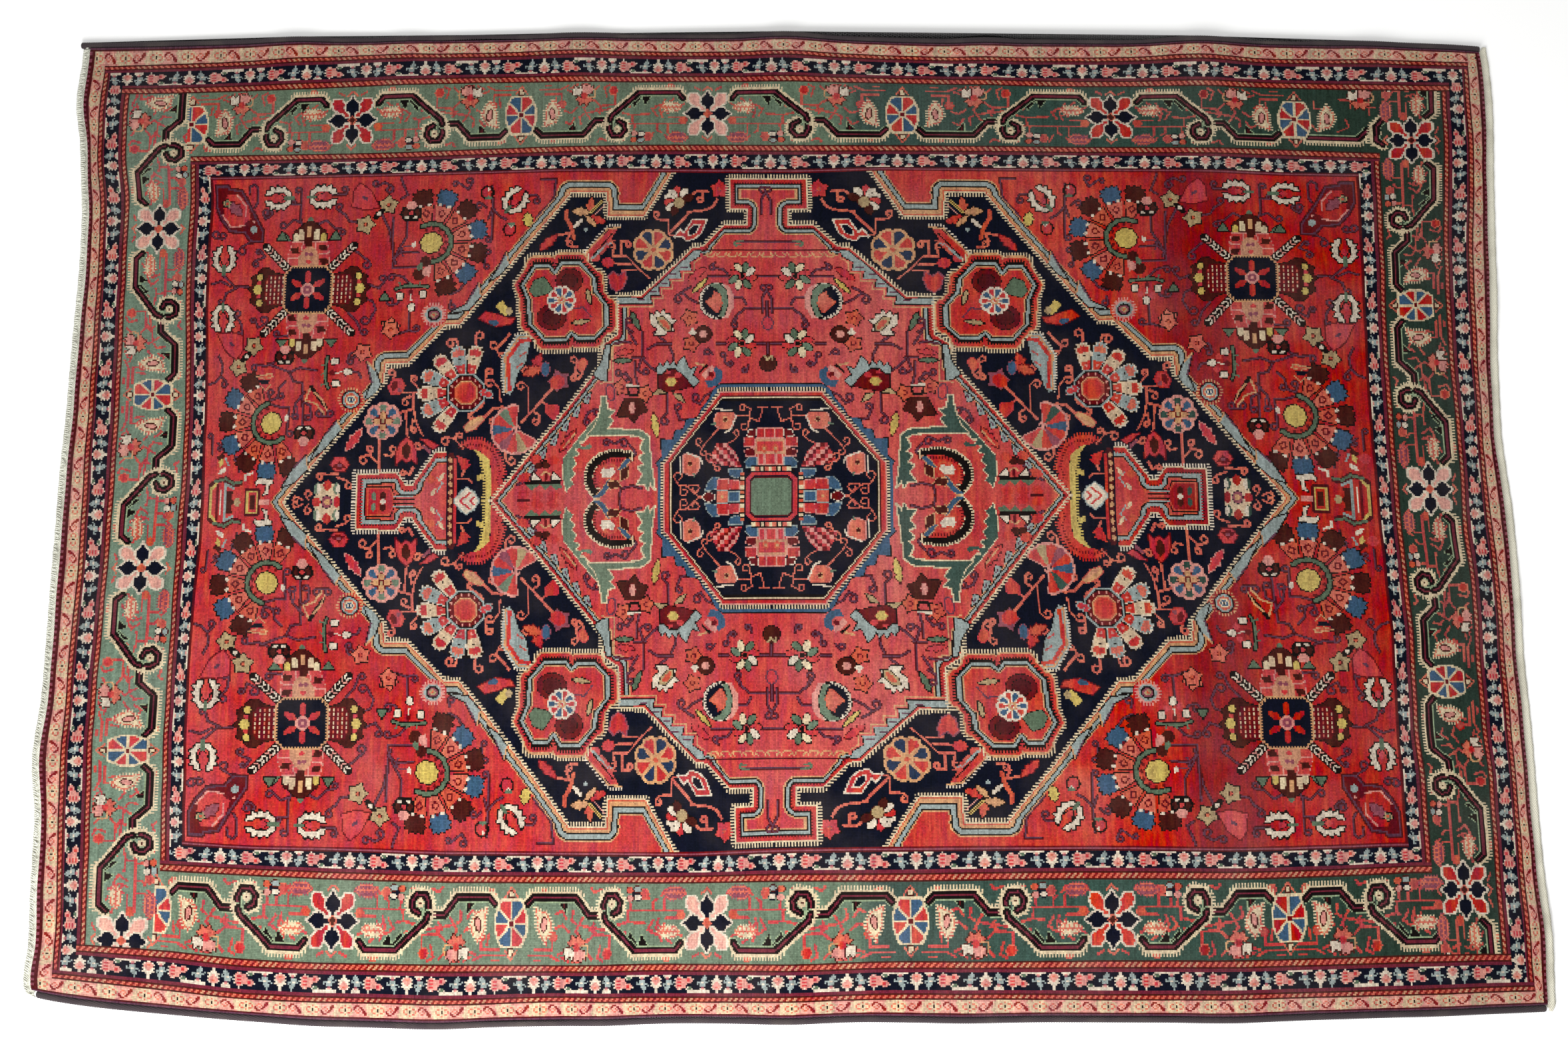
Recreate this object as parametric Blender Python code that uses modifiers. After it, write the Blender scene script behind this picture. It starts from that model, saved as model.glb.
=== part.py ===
"""Hand-knotted Persian rug of dozar size, lying on a floor.

X runs along the long sides, Y across them to the far side, Z up. The origin is under the middle of the rug's
outer box, on the floor. Tables are in millimetres, everything else in metres.
"""

import math

import bpy
import numpy as np

MM = 0.001

# What makes up the rug.
PILE_THICKNESS = 8.0 * MM  # foundation, knots and clipped pile
KILIM_THICKNESS = 2.5 * MM  # flat-woven ends
CORD_WIDTH = 10.0 * MM  # wool overcast along the long sides
CORD_HEIGHT = 8.4 * MM
CORD_FACES = 10  # round the cord
PART_GAP = 0.35 * MM  # between neighbouring pieces

# The body is drawn on a grid of this many cells, along X and along Y.
BODY_CELLS = (72, 56)

# Outer edge of the rug as it lies: the far and near sides as Y at X, both ends as X at Y.
FAR_SIDE = {  # x: y
    -1038: 691, -960: 692, -840: 695, -720: 699, -600: 700, -480: 703, -360: 705, -240: 706.5, -120: 706,
    0: 707, 120: 702, 240: 699, 360: 699, 480: 698.5, 600: 701, 720: 697.5, 840: 695, 960: 691, 1030: 686,
}
NEAR_SIDE = {  # x: y
    -1038: -664, -990: -674, -930: -682, -840: -690, -720: -699, -600: -705, -480: -707, -360: -703.5,
    -240: -701, -120: -697.5, 0: -698, 120: -694.5, 240: -695, 360: -693, 480: -692.5, 600: -692,
    720: -687.5, 840: -683, 960: -678, 1042: -674,
}
LEFT_END = {  # y: x
    -670: -1020, -662: -1029, -652: -1033, -640: -1033.5, -600: -1030, -520: -1032.5, -440: -1033,
    -350: -1040, -240: -1034.5, -120: -1033.5, 0: -1031.5, 120: -1028, 240: -1026, 360: -1023, 420: -1024,
    480: -1029, 540: -1034.5, 600: -1041, 660: -1039, 691: -1038,
}
RIGHT_END = {  # y: x
    -674: 1036, -664: 1040, -600: 1041, -520: 1037, -420: 1033, -300: 1030, -180: 1025, -60: 1024, 0: 1022,
    60: 1016.5, 120: 1012.5, 240: 1014, 360: 1019, 480: 1023, 600: 1027.5, 660: 1025, 687: 1022,
}

# Flat-woven ends: width of the woven band outside the pile.
LEFT_KILIM_WIDTH = 14.0 * MM
RIGHT_KILIM_WIDTH = 9.5 * MM

# Clipped warp tufts of the left end: they climb off the band and lie over the edge of the pile.
TUFT_COUNT = 138
TUFT_NOTCH = 13.4 * MM  # how far in the band reaches between two tufts
TUFT_REACH = (16.2 * MM, 18.6 * MM)  # and at the tip of a tuft, from short to long
TUFT_SLANT = 2.6 * MM  # sideways lean of a tip
TUFT_RISE_START = 6.5 * MM  # from the outer edge, where the tufts leave the floor
TUFT_RISE_END = 12.6 * MM  # and where they are as high as the pile
TUFT_CLEARANCE = 0.9 * MM  # above the pile

# Each side cord runs between these places, where the bands of the ends have rounded off.
FAR_CORD = (-1041.0 * MM, 1011.8 * MM)
NEAR_CORD = (-1012.6 * MM, 1026.0 * MM)

# Where the edges have crept up in shallow waves: place along the edge, height and half length of each.
WAVES_FAR = [(-722, 4.0, 75), (-560, 2.5, 60), (-310, 4.0, 85), (-5, 6.0, 80), (290, 4.0, 60), (600, 6.0, 90),
             (850, 2.5, 65)]
WAVES_NEAR = [(-640, 2.5, 80), (-470, 3.5, 80), (-240, 3.0, 60), (0, 3.0, 70), (240, 2.0, 60), (590, 3.5, 80),
              (880, 2.5, 70)]
WAVES_LEFT = [(-350, 4.0, 80), (60, 2.0, 90), (600, 4.5, 70)]
WAVES_RIGHT = [(-560, 3.0, 80), (-120, 2.5, 90), (300, 3.0, 80)]
WAVE_FADE = 150.0 * MM  # a wave has sunk to nothing this far in from its edge
HALF_LENGTH = 1041.0 * MM
HALF_BREADTH = 707.0 * MM


def edge_curve(table):
    """A smooth function through an edge table that never swings past a row of it."""
    along = np.array(sorted(table), dtype=float)
    across = np.array([table[key] for key in sorted(table)], dtype=float)
    steps = np.diff(across) / np.diff(along)
    slopes = np.zeros(len(along))
    same_way = steps[:-1] * steps[1:] > 0
    both = np.where(same_way, steps[:-1] + steps[1:], 1.0)
    slopes[1:-1] = np.where(same_way, 2 * steps[:-1] * steps[1:] / both, 0.0)
    slopes[0], slopes[-1] = steps[0], steps[-1]

    def at(place):
        place = np.clip(np.asarray(place, dtype=float) / MM, along[0], along[-1])
        row = np.clip(np.searchsorted(along, place, side="right") - 1, 0, len(along) - 2)
        width = along[row + 1] - along[row]
        t = (place - along[row]) / width
        start = (1 + 2 * t) * (1 - t) ** 2 * across[row] + t * (1 - t) ** 2 * width * slopes[row]
        end = t * t * (3 - 2 * t) * across[row + 1] + t * t * (t - 1) * width * slopes[row + 1]
        return (start + end) * MM

    return at


far_side = edge_curve(FAR_SIDE)
near_side = edge_curve(NEAR_SIDE)
left_end = edge_curve(LEFT_END)
right_end = edge_curve(RIGHT_END)


def waves(table, place, inset):
    """Height of one edge's waves at a place along it and a distance in from it."""
    height = 0.0
    for middle, peak, half in table:
        t = (place / MM - middle) / half
        if abs(t) < 1:
            height += peak * MM * math.cos(math.pi * t / 2) ** 2
    fade = min(max(inset / WAVE_FADE, 0.0), 1.0)
    return height * math.cos(math.pi * fade / 2) ** 2


def lift(x, y):
    """Height of the underside of the rug over the floor."""
    return (
        waves(WAVES_FAR, x, HALF_BREADTH - y)
        + waves(WAVES_NEAR, x, HALF_BREADTH + y)
        + waves(WAVES_LEFT, y, HALF_LENGTH + x)
        + waves(WAVES_RIGHT, y, HALF_LENGTH - x)
    )


def corner(side, side_inset, end, end_inset):
    """Where a long side and an end meet, each moved in from the outer edge."""
    y = 0.0
    for _ in range(6):
        x = float(end(y)) + end_inset
        y = float(side(x)) + side_inset
    return x, y


def body_sides():
    """The four sides of the pile, each a function of 0..1 that gives (x, y) along it."""
    side_inset = CORD_WIDTH + PART_GAP
    left_inset = LEFT_KILIM_WIDTH + PART_GAP
    right_inset = -RIGHT_KILIM_WIDTH - PART_GAP
    ends = (left_end, left_inset), (right_end, right_inset)
    far_corners = [corner(far_side, -side_inset, *end) for end in ends]
    near_corners = [corner(near_side, side_inset, *end) for end in ends]

    def long_side(corners, curve, inset, t):
        x = corners[0][0] + (corners[1][0] - corners[0][0]) * t
        return x, float(curve(x)) + inset

    def short_side(low, high, curve, inset, t):
        y = low[1] + (high[1] - low[1]) * t
        return float(curve(y)) + inset, y

    def far(t):
        return long_side(far_corners, far_side, -side_inset, t)

    def near(t):
        return long_side(near_corners, near_side, side_inset, t)

    def left(t):
        return short_side(near_corners[0], far_corners[0], left_end, left_inset, t)

    def right(t):
        return short_side(near_corners[1], far_corners[1], right_end, right_inset, t)

    return far, near, left, right


def material_of(name, colour, roughness):
    material = bpy.data.materials.new(name)
    material.use_nodes = True
    shader = material.node_tree.nodes["Principled BSDF"]
    shader.inputs["Base Color"].default_value = (*colour, 1.0)
    shader.inputs["Roughness"].default_value = roughness
    shader.inputs["Metallic"].default_value = 0.0
    return material


def into_rug(obj, name, colour, roughness):
    """Names an object, gives it its material and moves it to the rug's collection."""
    obj.name = name
    obj.data.name = name
    obj.data.materials.append(material_of(name, colour, roughness))
    for collection in list(obj.users_collection):
        collection.objects.unlink(obj)
    bpy.data.collections["persian_rug"].objects.link(obj)
    return obj


def thicken(obj, thickness):
    """Makes a closed slab of a sheet, with the sheet as its underside."""
    slab = obj.modifiers.new("thickness", "SOLIDIFY")
    slab.thickness = thickness
    slab.offset = 1.0


def pile_carpet():
    """The knotted body: a slab on the rug's outline that follows the waves of its edges."""
    bpy.ops.mesh.primitive_grid_add(x_subdivisions=BODY_CELLS[0], y_subdivisions=BODY_CELLS[1], size=2)
    body = bpy.context.object
    far, near, left, right = body_sides()
    for vertex in body.data.vertices:
        u, v = (vertex.co.x + 1) / 2, (vertex.co.y + 1) / 2
        # A surface stretched between the four sides.
        sides = [(far(u), v), (near(u), 1 - v), (left(v), 1 - u), (right(v), u)]
        far_corners = [(far(0), -v * (1 - u)), (far(1), -v * u)]
        near_corners = [(near(0), -(1 - v) * (1 - u)), (near(1), -(1 - v) * u)]
        weighted = sides + far_corners + near_corners
        x, y = (sum(point[axis] * share for point, share in weighted) for axis in (0, 1))
        vertex.co = (x, y, lift(x, y))
    thicken(body, PILE_THICKNESS)
    return into_rug(body, "pile_carpet", (0.42, 0.035, 0.03), 0.9)


def cord_section():
    """The oval that the side cords are drawn with."""
    outline = bpy.data.curves.new("cord_section", "CURVE")
    outline.dimensions = "2D"
    spline = outline.splines.new("POLY")
    spline.points.add(CORD_FACES - 1)
    for index, point in enumerate(spline.points):
        angle = -2 * math.pi * index / CORD_FACES
        point.co = (CORD_WIDTH / 2 * math.cos(angle), CORD_HEIGHT / 2 * math.sin(angle), 0, 1)
    spline.use_cyclic_u = True
    section = bpy.data.objects.new("cord_section", outline)
    section.hide_render = True
    section.display_type = "WIRE"
    bpy.data.collections["guides"].objects.link(section)
    return section


def side_cord(name, side, curve, outward, ends, section):
    """The overcast selvedge along one long side: an oval cord beside the edge of the pile."""
    path = bpy.data.curves.new(name, "CURVE")
    path.dimensions = "3D"
    path.twist_mode = "Z_UP"
    path.bevel_mode = "OBJECT"
    path.bevel_object = section
    path.use_fill_caps = True
    spline = path.splines.new("POLY")
    spline.points.add(BODY_CELLS[0])
    # The oval stands on a flat side.
    middle_height = CORD_HEIGHT / 2 * math.cos(math.pi / CORD_FACES)
    for index, point in enumerate(spline.points):
        x = min(max(side(index / BODY_CELLS[0])[0], ends[0]), ends[1])
        y = float(curve(x)) - outward * CORD_WIDTH / 2
        point.co = (x, y, lift(x, y) + middle_height, 1)
    cord = bpy.data.objects.new(name, path)
    bpy.context.scene.collection.objects.link(cord)
    return into_rug(cord, name, (0.022, 0.032, 0.022), 0.85)


def strip(name, columns, rows, place, thickness, colour):
    """A woven end: a sheet of columns along Y and rows across it, where place(t, row) gives each point."""
    bpy.ops.mesh.primitive_grid_add(x_subdivisions=rows, y_subdivisions=columns, size=2)
    sheet = bpy.context.object
    for vertex in sheet.data.vertices:
        t = (vertex.co.y + 1) / 2
        row = round((vertex.co.x + 1) / 2 * rows)
        vertex.co = place(t, row)
    thicken(sheet, thickness)
    return into_rug(sheet, name, colour, 0.9)


def kilim_end_left():
    """The band at the left end with its clipped warp tufts, which lie over the edge of the pile."""
    low, high = min(LEFT_END) * MM, max(LEFT_END) * MM
    columns = 2 * TUFT_COUNT
    rest = PILE_THICKNESS + TUFT_CLEARANCE

    def place(t, row):
        y = low + (high - low) * t
        outer = float(left_end(y))
        column = round(t * columns)
        rounded = float(left_end(low)) + LEFT_KILIM_WIDTH / 3
        inner_edge = outer + LEFT_KILIM_WIDTH
        # At its near corner the band rounds off into the end of the side cord.
        closing = max(0.0, 1 - (y - low) / LEFT_KILIM_WIDTH)
        inner_edge += (rounded - inner_edge) * closing
        width = inner_edge - outer
        grown = width / LEFT_KILIM_WIDTH
        if row == 0:
            return outer, y, lift(outer, y)
        if row == 1:
            return outer + TUFT_RISE_START * grown, y, lift(outer, y)
        if row == 2:
            x = outer + TUFT_RISE_END * grown
            return x, y, lift(x, y) + rest
        long_ones = 0.5 + 0.5 * math.sin(column * 1.7) * math.cos(column * 0.31)
        is_tip = column % 2 == 1
        reach = TUFT_REACH[0] + (TUFT_REACH[1] - TUFT_REACH[0]) * long_ones if is_tip else TUFT_NOTCH
        x = outer + reach * grown
        lean = TUFT_SLANT * math.sin(column * 0.13) if is_tip else 0.0
        return x, y + lean, lift(x, y) + rest

    return strip("kilim_end_left", columns, 3, place, KILIM_THICKNESS, (0.55, 0.53, 0.38))


def kilim_end_right(right):
    """The plain woven band at the right end, with a column at each row of the body's grid."""
    columns = BODY_CELLS[1] + 2

    def place(t, row):
        column = round(t * columns)
        y = right((column - 1) / BODY_CELLS[1])[1]
        if column == 0:
            y = min(RIGHT_END) * MM
        if column == columns:
            y = max(RIGHT_END) * MM
        x = float(right_end(y)) - RIGHT_KILIM_WIDTH * (1 - row)
        return x, y, lift(x, y)

    return strip("kilim_end_right", columns, 1, place, KILIM_THICKNESS, (0.62, 0.60, 0.5))


def centre_on_origin(pieces):
    """Moves the rug so that the origin is under the middle of its outer box."""
    bpy.context.view_layer.update()
    graph = bpy.context.evaluated_depsgraph_get()
    low, high = np.full(3, np.inf), np.full(3, -np.inf)
    for piece in pieces:
        shape = piece.evaluated_get(graph)
        mesh = shape.to_mesh()
        points = np.empty(len(mesh.vertices) * 3, dtype=np.float32)
        mesh.vertices.foreach_get("co", points)
        points = points.reshape(-1, 3)
        low, high = np.minimum(low, points.min(axis=0)), np.maximum(high, points.max(axis=0))
        shape.to_mesh_clear()
    middle = (low + high) / 2
    for piece in pieces:
        piece.location = (-middle[0], -middle[1], 0.0)


def main():
    for obj in list(bpy.data.objects):
        bpy.data.objects.remove(obj)
    for name in ("persian_rug", "guides"):
        bpy.context.scene.collection.children.link(bpy.data.collections.new(name))
    section = cord_section()
    far, near, _, right = body_sides()
    pieces = [
        pile_carpet(),
        side_cord("side_cord_far", far, far_side, 1, FAR_CORD, section),
        side_cord("side_cord_near", near, near_side, -1, NEAR_CORD, section),
        kilim_end_left(),
        kilim_end_right(right),
    ]
    centre_on_origin(pieces)


main()
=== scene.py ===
import math

import bpy
import numpy as np
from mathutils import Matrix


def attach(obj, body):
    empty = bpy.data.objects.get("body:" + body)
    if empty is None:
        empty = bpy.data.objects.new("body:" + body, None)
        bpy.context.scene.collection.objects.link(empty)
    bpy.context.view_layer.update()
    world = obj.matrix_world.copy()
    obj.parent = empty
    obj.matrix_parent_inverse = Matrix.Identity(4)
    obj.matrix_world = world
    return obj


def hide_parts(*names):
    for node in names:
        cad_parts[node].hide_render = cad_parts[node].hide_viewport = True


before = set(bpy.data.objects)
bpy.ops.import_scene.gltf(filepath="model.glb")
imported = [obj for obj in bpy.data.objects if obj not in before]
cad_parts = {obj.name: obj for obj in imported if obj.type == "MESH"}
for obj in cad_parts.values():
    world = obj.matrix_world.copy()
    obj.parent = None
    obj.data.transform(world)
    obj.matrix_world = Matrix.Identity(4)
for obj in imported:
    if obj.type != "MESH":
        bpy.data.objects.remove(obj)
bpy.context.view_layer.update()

mm = 0.001
print("frame loaded:", ", ".join(sorted(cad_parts)))

# ---- the knot chart: every knot of the pile gets the number of its yarn ----
cloth = {
    "halfLength": 1018.0,  # the pile as the weaver's drawing has it, in millimetres
    "halfWidth": 689.0,
    "knotsLong": 1000,
    "knotsWide": 680,
    "finestLine": 2.15,  # a line one knot wide
}
knotLong = 2 * cloth["halfLength"] / cloth["knotsLong"]
knotWide = 2 * cloth["halfWidth"] / cloth["knotsWide"]
knotU = (np.arange(cloth["knotsLong"]) + 0.5) * knotLong - cloth["halfLength"]
knotV = (np.arange(cloth["knotsWide"]) + 0.5) * knotWide - cloth["halfWidth"]

yarns = {  # the dyer's shelf, as the wool looks in daylight (sRGB, 0 to 255)
    "red": (196, 56, 50), "coral": (202, 78, 70), "navy": (13, 16, 32), "black": (20, 13, 12),
    "wine": (106, 18, 22), "maroon": (82, 21, 24), "brown": (73, 27, 20), "cream": (222, 201, 164),
    "white": (222, 206, 184), "pink": (218, 148, 134), "salmon": (212, 110, 88), "orange": (205, 93, 67),
    "gold": (208, 156, 110), "yellow": (206, 180, 98), "olive": (178, 153, 112), "green": (94, 113, 90),
    "sage": (104, 142, 120), "blue": (63, 91, 119), "sky": (152, 163, 159), "plum": (98, 58, 76),
    "rust": (192, 88, 76), "rose": (200, 62, 62), "tan": (202, 144, 112), "mauve": (146, 76, 88),
    "ecru": (217, 189, 154), "mint": (150, 168, 132), "dusk": (38, 52, 79), "brick": (140, 40, 34),
    "berry": (116, 40, 54), "blush": (230, 168, 150), "straw": (230, 196, 150),
}
yarnNumber = {name: number for number, name in enumerate(yarns)}
chart = np.zeros((cloth["knotsWide"], cloth["knotsLong"]), np.uint8)


def spot(u, v, turn=0.0, size=1.0, flip=1.0):
    cosine, sine = math.cos(math.radians(turn)), math.sin(math.radians(turn))

    def to(points):
        return [(u + size * (cosine * x * flip - sine * y), v + size * (sine * x * flip + cosine * y))
                for x, y in points]

    return to


def asDrawn(points):
    return list(points)


def patch(points, margin=0.0):
    left = min(point[0] for point in points) - margin + cloth["halfLength"]
    right = max(point[0] for point in points) + margin + cloth["halfLength"]
    low = min(point[1] for point in points) - margin + cloth["halfWidth"]
    high = max(point[1] for point in points) + margin + cloth["halfWidth"]
    columns = slice(max(0, int(left / knotLong)), max(0, int(right / knotLong) + 1))
    rows = slice(max(0, int(low / knotWide)), max(0, int(high / knotWide) + 1))
    return rows, columns


def inside(points, u, v):
    found = np.zeros(np.broadcast(u, v).shape, bool)
    for (u0, v0), (u1, v1) in zip(points, points[1:] + points[:1]):
        if v0 != v1:
            found ^= ((v0 > v) != (v1 > v)) & (u < (u1 - u0) * (v - v0) / (v1 - v0) + u0)
    return found


def nearest(points, u, v, closed, leaning=False):
    distance = np.full(np.broadcast(u, v).shape, np.inf)
    level = np.zeros(distance.shape, bool)
    leftSide = np.zeros(distance.shape, bool)
    ends = points[1:] + points[:1] if closed else points[1:]
    for (u0, v0), (u1, v1) in zip(points, ends):
        du, dv = u1 - u0, v1 - v0
        share = np.clip(((u - u0) * du + (v - v0) * dv) / max(du * du + dv * dv, 1e-9), 0, 1)
        away = np.hypot(u - u0 - share * du, v - v0 - share * dv)
        if leaning:  # a slanting band is counted in knots along and across, so it comes out narrower
            away = away * (abs(du) + abs(dv)) / max(math.hypot(du, dv), 1e-9)
        closer = away < distance
        distance = np.where(closer, away, distance)
        level = np.where(closer, abs(du) >= abs(dv), level)
        leftSide = np.where(closer, du * (v - v0) - dv * (u - u0) > 0, leftSide)
    return distance, level, leftSide


def knotsOf(points, margin):
    rows, columns = patch(points, margin)
    return rows, columns, knotU[columns][None, :], knotV[rows][:, None]


def fill(yarn, points, to=asDrawn):
    points = to(points)
    rows, columns, u, v = knotsOf(points, 2)
    chart[rows, columns][inside(points, u, v)] = yarnNumber[yarn]


def line(yarn, points, width=2.15, to=asDrawn, closed=False):
    points = to(points)
    rows, columns, u, v = knotsOf(points, width)
    chart[rows, columns][nearest(points, u, v, closed)[0] <= width / 2] = yarnNumber[yarn]


def edged(yarn, edge, points, to=asDrawn, width=2.15):
    line(edge, points, 2 * width, to, True)
    fill(yarn, points, to)


def oval(acrossBy, upBy, middle=(0, 0), turn=0, count=16):
    bend = math.radians(turn)
    found = []
    for step in range(count):
        angle = 2 * math.pi * step / count
        x, y = acrossBy * math.cos(angle), upBy * math.sin(angle)
        found.append((middle[0] + x * math.cos(bend) - y * math.sin(bend),
                      middle[1] + x * math.sin(bend) + y * math.cos(bend)))
    return found


def bands(points, widths, outward=True):
    """widths is ((yarn, width), ...) counted away from the line"""
    reach = sum(width for yarn, width in widths)
    rows, columns, u, v = knotsOf(points, reach + 2)
    distance = nearest(points, u, v, True, True)[0]
    wanted = inside(points, u, v) != outward
    start = 0.0
    for yarn, width in widths:
        if yarn:
            chart[rows, columns][wanted & (distance > start - 0.01) & (distance <= start + width)] = yarnNumber[yarn]
        start += width


def teeth(yarn, points, reach, start=0.0, closed=True, side="in", under=None, every=2):
    """a comb of single knots standing on a line: side is in or out of a closed one, left or right of an open one"""
    rows, columns, u, v = knotsOf(points, reach + start + 2)
    distance, level, leftSide = nearest(points, u, v, closed, True)
    if closed:
        wanted = inside(points, u, v) == (side == "in")
    else:
        wanted = leftSide == (side == "left")
    wanted &= (distance > start) & (distance <= start + reach)
    columnOf = np.arange(columns.start, columns.start + wanted.shape[1])[None, :]
    rowOf = np.arange(rows.start, rows.start + wanted.shape[0])[:, None]
    tooth = np.where(level, columnOf, rowOf) % every == 0
    if under:
        chart[rows, columns][wanted & ~tooth] = yarnNumber[under]
    chart[rows, columns][wanted & tooth] = yarnNumber[yarn]


def hook(u, v, turn=0.0, size=5.0, flip=1):
    """the curl at the end of a tendril, which starts at (u, v) and heads along turn"""
    to = spot(u, v, turn, size, 1)
    curl = [(0, 0)]
    for step in range(1, 8):
        angle = step * 0.75
        radius = 1.0 - 0.055 * step
        curl.append((math.sin(angle) * radius, flip * (1.0 - math.cos(angle) * radius)))
    return to(curl)


def tendril(points, edge="black", core="plum", width=5.6, ends=()):
    """ends holds (which end, size, flip) for the curls"""
    path = list(points)
    for which, size, flip in ends:
        (u0, v0), (u1, v1) = (path[1], path[0]) if which == "first" else (path[-2], path[-1])
        curl = hook(u1, v1, math.degrees(math.atan2(v1 - v0, u1 - u0)), size, flip)
        path = curl[::-1][:-1] + path if which == "first" else path + curl[1:]
    if edge:
        line(edge, path, width)
    line(core, path, 2.15)


# ---- motifs of the field ----
def crown(to, stem="green"):
    horn = [(-2, -17), (-8, -17), (-12, -11), (-18, -6), (-14, -2), (-19, 4), (-14, 7), (-18, 14), (-12, 14), (-12, 20),
            (-4, 22), (-5, 15), (-9, 8), (-9, -3), (-7, -8), (-2, -12)]
    other = [(-x, y) for x, y in horn]
    for half in (horn, other):
        line("black", half, 3.8, to, True)
    fill("red", [(-7, 4), (0, 12), (7, 4), (7, -6), (0, -12), (-7, -6)], to)
    for half in (horn, other):
        fill("white", half, to)
    line("black", [(-7, 4), (0, -10), (7, 4)], 2.15, to)
    fill("rose", oval(4.5, 5.5), to)
    fill(stem, [(-2.5, -7), (2.5, -7), (2.5, -22), (-2.5, -22)], to)


def sunPalmette(to):
    caps = ("brown", "blue", "brown", "blue", "brown", "blue", "brown")
    for step, yarn in enumerate(caps):
        turn = math.radians(-87 + 29 * step)
        cosine, sine = math.cos(turn), math.sin(turn)

        def petal(points):
            return to([(x * cosine - y * sine, x * sine + y * cosine) for x, y in points])

        cap = [(57, -9), (63, -13), (68, -12), (72, -16), (75, -12), (81, -13), (79, -6), (83, -3), (80, 1), (83, 6),
               (79, 8), (80, 13), (74, 12), (71, 16), (67, 12), (62, 13), (57, 9)]
        edged(yarn, "black", cap, petal, 1.2)
        edged("salmon" if step % 2 else "orange", "black", [(33, -5), (56, -12), (56, 12), (33, 5)], petal, 1.6)
        line("wine", [(40, 0), (46, -5), (51, 0), (46, 5)], 2.15, petal, True)
        for side in (-1, 1):
            fill("white", oval(2.6, 2.8, (58, 7 * side), count=8), petal)
            fill("wine", oval(2.2, 2.2, (58, 0), count=8), petal)
    ring = []
    for step in range(9):
        turn = math.radians(-104 + 26 * step)
        ring.append((29 * math.cos(turn), 29 * math.sin(turn)))
    line("black", ring, 9, to)
    line("green", ring, 5.4, to)
    for step in range(8):
        turn = math.radians(-98 + 28 * step)
        fill("wine", oval(2.7, 2.7, (21.5 * math.cos(turn), 21.5 * math.sin(turn)), count=8), to)
    edged("yellow", "black", oval(16.5, 15.5, count=8, turn=22), to, 1.7)
    fill("white", [(-28, 7), (-20, 9), (-22, 1), (-28, 0)], to)
    line("plum", [(-29, 4), (-40, 6), (-46, 0), (-44, -8)], 2.4, to)


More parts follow.
